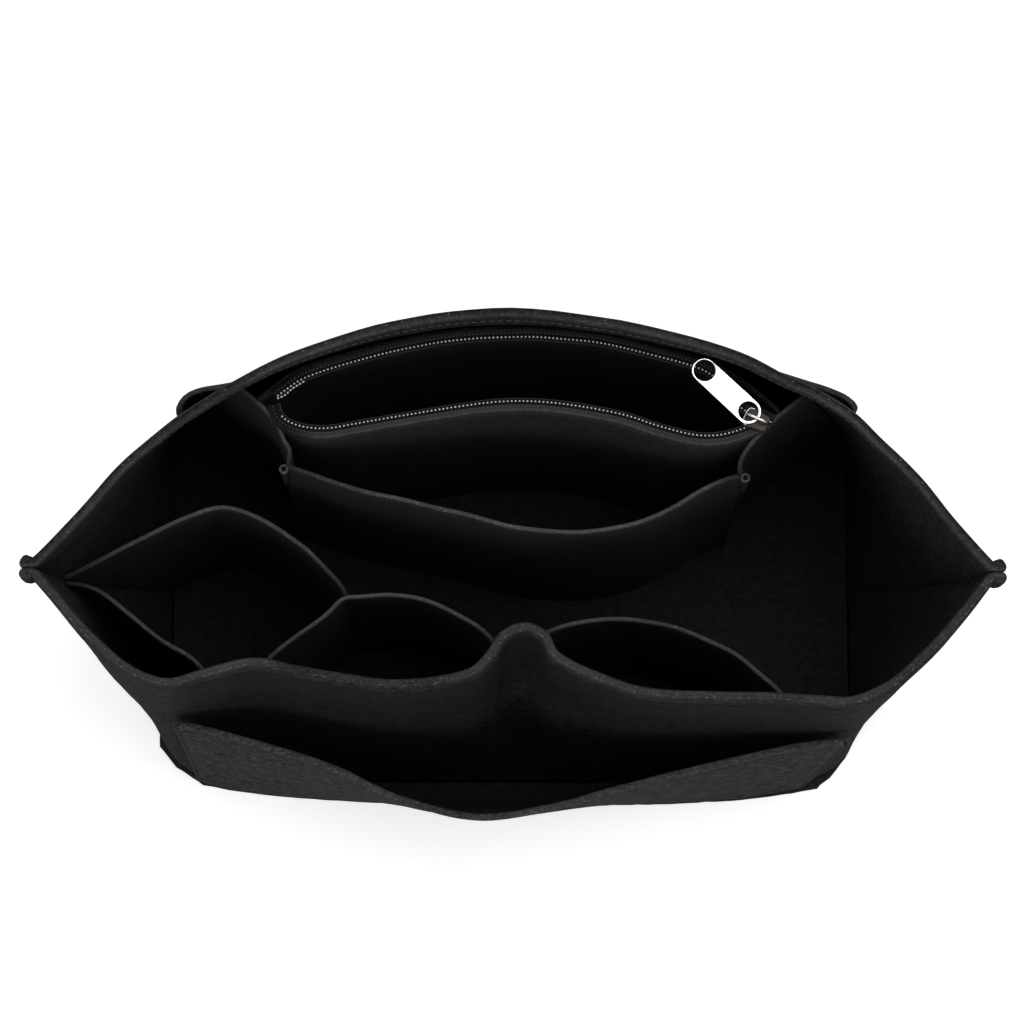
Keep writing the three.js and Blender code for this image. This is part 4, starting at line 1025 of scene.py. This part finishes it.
def tape_rows(line, side, wear_light_and_shade, drop=7.0):
    """Stations round the tape's section: [away from the teeth, above the zip's height, how pale]."""
    skin = [
        (0.6, 0.28, 0.0), (1.3, 0.34, 0.02), (1.9, 0.36, 0.1), (2.5, 0.4, 0.3), (3.0, 0.34, 0.8),
        (3.3, 0.12, 0.9), (3.42, -0.3, 0.5), (3.44, -1.2, 0.1), (3.44, -4, 0), (3.44, -drop, 0),
        (3.2, -drop, 0), (3.2, -4, 0), (3.18, -1.2, 0), (3.0, -0.2, 0), (2.5, -0.1, 0), (1.9, -0.12, 0),
        (1.3, -0.14, 0), (0.6, -0.14, 0),
    ]
    lint = [clamp(0.7 + 0.7 * noise.noise(Vector((p.x, p.y, 7)) * 0.8)) for p in line]
    # Painted shade: the tape darkens towards its left end, from 72 mm left of the middle.
    shade = [0.9 * clamp((-72 - p.x) / 10) for p in line]
    rows, fuzz_light_and_shade = [], []
    for away, z, pale in skin:
        rag = [noise.noise(Vector((p.x, p.y, away)) * 0.9) for p in line]
        ragged = [side * (away + 0.3 * clamp(away - 2) * tear) for tear in rag]
        rows.append(beside_zip(line, side, ragged, z))
        fuzz_light_and_shade.append([wear_light_and_shade * pale * soft - dark for soft, dark in zip(lint, shade)])
    return rows, fuzz_light_and_shade


back_tape_line = spread(back_zip_line, 220)
front_tape_line = spread(lens_line, 260)
tape_back = cloth("zip_tape_back_cloth", *tape_rows(back_tape_line, 1, 0.1), shaded_tape)
tape_front = cloth("zip_tape_front_cloth", *tape_rows(front_tape_line, -1, 0.4), lit_tape)
for piece, node_name in ((tape_back, "zip_tape_back"), (tape_front, "zip_tape_front")):
    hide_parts(node_name)

# %% [markdown]
# The zip is a black nylon coil sewn to each tape. Its inner edge, where the turns bulge, catches the light
# as a thin line, drawn as a painted highlight on the coil. The chain stitches that hold it show as one row
# of bright dots along its middle, pale grey as painted glints, and a dimmer row beside it in black thread.
# There are well over a hundred, so each dot is only a small rounded block.

# %% Zip coil and its stitches
TOOTH_PITCH, END_PITCH = 1.48, 1.3
BRIGHT_DOT, DIM_DOT = (0.00058, 0.00052, 0.0003), (0.00045, 0.0004, 0.0002)
END_DOT = (0.00075, 0.00055, 0.0003)
FOLDED_END = [(-86.8, 68.1), (-84.0, 69.2), (-81.0, 71.9), (-76.4, 74.9)]


def coil(name, line, side, lit):
    """The coil as one long rounded strip, with a highlight painted along its inner edge."""
    skin = [
        (-1.42, 0.05, 0.6), (-1.32, 0.3, 1.0), (-1.15, 0.46, 0.35), (-0.85, 0.56, 0.02),
        (-0.4, 0.64, 0), (0.1, 0.66, 0), (0.6, 0.6, 0), (0.95, 0.5, 0), (1.15, 0.3, 0), (1.2, 0, 0),
        (1.0, -0.4, 0), (0.4, -0.66, 0), (-0.4, -0.68, 0), (-1.1, -0.5, 0), (-1.36, -0.25, 0.1),
    ]
    spots = spread(line, 260)
    rows = [beside_zip(spots, side, away, z) for away, z, _ in skin]
    return cloth(name, rows, [pale * lit for _, _, pale in skin], coil_nylon)


folded_end = [Vector((x, y, ZIP_HEIGHT + 0.6)) for x, y in smooth_line(FOLDED_END, 4)]
coils = [seam("zip_end_stitches", folded_end, END_PITCH, END_DOT, glint_nylon)]
# [name, line, side, how strongly a highlight is painted on the coil's edge, points at the start with no
# bright dots, where shade falls]
ZIP_HALVES = (("back", back_zip_line, 1, 0.05, 0), ("front", lens_line, -1, 0.22, 8))
for name, line, side, lit, hidden in ZIP_HALVES:
    outer, inner = beside_zip(line, side, -0.1, 0.7)[hidden:], beside_zip(line, side, 1.5, 0.42)
    bright = seam(f"zip_stitches_{name}", outer, TOOTH_PITCH, BRIGHT_DOT, glint_nylon)
    dim = seam(f"zip_inner_stitches_{name}", inner, TOOTH_PITCH, DIM_DOT, black_thread)
    turns = coil(f"zip_coil_{name}", line, side, lit)
    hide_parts(f"zip_chain_{name}")
    for piece in (bright, dim, turns):
        coils.append(piece)

# %% [markdown]
# When the slider runs along the zip, the two halves come together into one straight line.

# %% Each zip piece gets a mesh of its own
for piece in (*coils, tape_back, tape_front, lining_piece, zip_front_piece):
    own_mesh(piece)

# %% [markdown]
# ## Slider and tab
# The slider is cast metal: two plates with a post between them, an arch on top, and the tab that hangs
# in the arch. Flat shapes with holes are easiest as flat curves, which Blender fills, thickens and
# rounds. They are then made into meshes and put in place.

# %% Flat metal from an outline
def rounded_outline(x0, x1, half0, half1, corner, steps=6):
    """A plate's outline, narrower at one end, with round corners."""
    points = []
    for cx, cy, start in ((x1, -half1, -90), (x1, half1, 0), (x0, half0, 90), (x0, -half0, 180)):
        centre = Vector((cx - math.copysign(corner, cx), cy - math.copysign(corner, cy)))
        for i in range(steps + 1):
            angle = math.radians(start + 90 * i / steps)
            points.append(centre + Vector((math.cos(angle), math.sin(angle))) * corner)
    return points


def arc_outline(x, radius, angles):
    return [Vector((x + radius * math.cos(angle), radius * math.sin(angle))) for angle in angles]


def circle_outline(x, radius, steps=48):
    return arc_outline(x, radius, [2 * math.pi * i / steps for i in range(steps)])


def flat_metal(name, outlines, low, high, round_over, place, material, body):
    """A plate between two heights, with its edges rounded over; the first outline is its edge."""
    curve = bpy.data.curves.new(name, "CURVE")
    curve.dimensions, curve.fill_mode = "2D", "BOTH"
    curve.extrude = (high - low) / 2000 - round_over / 1000
    curve.bevel_depth, curve.bevel_resolution = round_over / 1000, 3
    curve.offset = -round_over / 1000
    for outline in outlines:
        spline = curve.splines.new("POLY")
        spline.points.add(len(outline) - 1)
        spline.use_cyclic_u = True
        for spot, point in zip(spline.points, outline):
            spot.co = (point.x / 1000, point.y / 1000, 0, 1)
    shape = bpy.data.objects.new(f"{name}_outline", curve)
    bpy.context.scene.collection.objects.link(shape)
    bpy.context.view_layer.update()
    mesh = bpy.data.meshes.new_from_object(shape.evaluated_get(bpy.context.evaluated_depsgraph_get()))
    bpy.data.objects.remove(shape)
    work = bmesh.new()
    work.from_mesh(mesh)
    bmesh.ops.remove_doubles(work, verts=work.verts, dist=1e-7)
    bmesh.ops.recalc_face_normals(work, faces=work.faces)
    lifted = place @ Matrix.Translation((0, 0, (low + high) / 2000))
    bmesh.ops.transform(work, verts=work.verts, matrix=lifted)
    piece = finish_piece(name, work, [material], body)
    return piece


SLIDER_PLACE = Matrix.Translation(to_metres(SLIDER_SEAT)) @ Matrix.Rotation(math.pi - SLIDER_YAW, 4, "Z")
TAB_PLACE = SLIDER_PLACE @ Matrix.Translation((0, 0, 0.0035)) @ Matrix.Rotation(-math.radians(19), 4, "Z")

# %% Slider body
PLATE_HALF_LENGTH, PLATE_HALF_WIDTHS, PLATE_CORNER = 4.75, (3.2, 3.88), 1.6
outline = rounded_outline(-PLATE_HALF_LENGTH, PLATE_HALF_LENGTH, *PLATE_HALF_WIDTHS, PLATE_CORNER)
slider_top = flat_metal("slider_top_plate", [outline], 1.6, 2.6, 0.3, SLIDER_PLACE, shaded_slider_metal, "slider")
flat_metal("slider_under_plate", [outline], -2.6, -1.6, 0.3, SLIDER_PLACE, shaded_slider_metal, "slider")
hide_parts("slider_body")
POST = (1.9, 4.3, -0.7, 0.7, -2.1, 2.1)
EDGES = [(-3.1, 3.1, *y, *z) for z in ((0.72, 1.9), (-1.9, -0.72)) for y in ((3.0, 3.5), (-3.5, -3.0))]
work = bmesh.new()
for x0, x1, y0, y1, z0, z1 in (POST, *EDGES):
    size = Matrix.Diagonal(((x1 - x0) / 1000, (y1 - y0) / 1000, (z1 - z0) / 1000, 1))
    at = Matrix.Translation(((x0 + x1) / 2000, (y0 + y1) / 2000, (z0 + z1) / 2000))
    bmesh.ops.create_cube(work, size=1, matrix=SLIDER_PLACE @ at @ size)
round_edges(work, work.edges[:], 0.00018, 2)
slider_inside = finish_piece("slider_post_and_edges", work, [shaded_slider_metal], "slider", smooth=False)


# %% Bail, the arch that holds the tab
def in_slider(x, z, y=0):
    point = SLIDER_PLACE @ Vector((x / 1000, y / 1000, z / 1000))
    return Vector((point.x * 1000, point.y * 1000 - SHIFT_Y, point.z * 1000))


HALF_ARCH = [(-3.85, 2.9), (-3.85, 4.4), (-3.6, 5.3), (-2.6, 5.9)]
ARCH = [*HALF_ARCH, (0, 6.05), *((-x, z) for x, z in reversed(HALF_ARCH))]
BRIM = [(2.0, -3.45), (3.6, -3.15), (4.4, -1.9), (4.5, 0), (4.4, 1.9), (3.6, 3.15), (2.6, 3.4)]
arch = smooth_line([in_slider(x, z) for x, z in ARCH], 5)
bail = rolled("slider_bail_rod", arch, [0.6] * len(arch), bail_metal, "slider", sides=16, swayed=False)
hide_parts("slider_bail")
# A thin bright rod along the top plate's rounded front end: a painted highlight on that edge.
brim = smooth_line([in_slider(x, 2.55, y) for x, y in BRIM], 4)
front_glint = rolled(
    "slider_front_glint", brim, [0.24] * len(brim), bail_metal, "slider", sides=10, swayed=False,
)

# %% Pull tab
NEAR, FAR, NEAR_HOLE, FAR_HOLE = 4.225, 26.525, 3.7, 4.0
TAB_HALF_WIDTH, TAB_HALF_THICKNESS = 4.75, 0.6
sides = []
for end, start in ((NEAR, 90), (FAR, -90)):
    sides += arc_outline(end, TAB_HALF_WIDTH, [math.radians(start + 180 * i / 32) for i in range(33)])
outlines = [sides, circle_outline(NEAR, NEAR_HOLE), circle_outline(FAR, FAR_HOLE)]
tab = flat_metal(
    "pull_tab_silver", outlines, -TAB_HALF_THICKNESS, TAB_HALF_THICKNESS, 0.28,
    TAB_PLACE, silver_plate, "pull",
)
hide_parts("pull_tab")
print("tab", [round(v * 1000, 1) for v in tab.dimensions])

# %% [markdown]
# ## Floor, backdrop and light
# The background is pure white with a faint soft shadow beside the base. The floor is a pale plane that
# the camera sees slightly brighter than it is, so it stays white and still takes the shadow. The
# light is a plain even sky and two wide soft lamps.

# %% Floor
FLOOR_WHITE, FLOOR_GLOW, WHITE = (0.93, 0.93, 0.93, 1), 0.47, (1, 1, 1, 1)
floor_white = shader("floor_white", Roughness=0.9, Base_Color=FLOOR_WHITE, Emission_Color=WHITE)
seen = node(floor_white, "LightPath", output="Is Camera Ray")
glow = node(floor_white, "Math", {0: seen, 1: FLOOR_GLOW}, operation="MULTIPLY")
wire(floor_white, Emission_Strength=glow)
work = bmesh.new()
bmesh.ops.create_grid(work, x_segments=1, y_segments=1, size=4)
mesh = bpy.data.meshes.new("studio_floor")
work.to_mesh(mesh)
work.free()
mesh.materials.append(floor_white)
studio_floor = bpy.data.objects.new("studio_floor", mesh)
bpy.context.scene.collection.objects.link(studio_floor)
studio_floor.location.z = -0.0002

# %% Sky and lamps
sky = bpy.data.worlds.new("studio_sky")
sky.use_nodes = True
bpy.context.scene.world = sky
camera, glossy, clear = (
    node(sky, "LightPath", output=f"Is {kind} Ray") for kind in ("Camera", "Glossy", "Transmission")
)
seen = node(sky, "Math", {0: camera, 1: glossy}, operation="MAXIMUM")
seen = node(sky, "Math", {0: seen, 1: clear}, operation="MAXIMUM")
strength = node(sky, "MapRange", {"Value": seen}, To_Min=0.45, To_Max=1.0)
background = sky.node_tree.nodes["Background"]
sky.node_tree.links.new(strength, background.inputs["Strength"])
background.inputs["Color"].default_value = WHITE


def soft_lamp(name, place, aim, size, watts):
    lamp = bpy.data.objects.new(name, bpy.data.lights.new(name, "AREA"))
    lamp.data.shape, lamp.data.size, lamp.data.energy = "DISK", size, watts
    lamp.location = place
    lamp.rotation_euler = (Vector(aim) - Vector(place)).to_track_quat("-Z", "Y").to_euler()
    bpy.context.scene.collection.objects.link(lamp)


soft_lamp("front_lamp", (-0.7, -1.4, 1.1), (0, 0, 0.08), 0.9, 11)
soft_lamp("top_lamp", (0.4, 0.2, 1.9), (0, 0, 0.1), 1.2, 13)
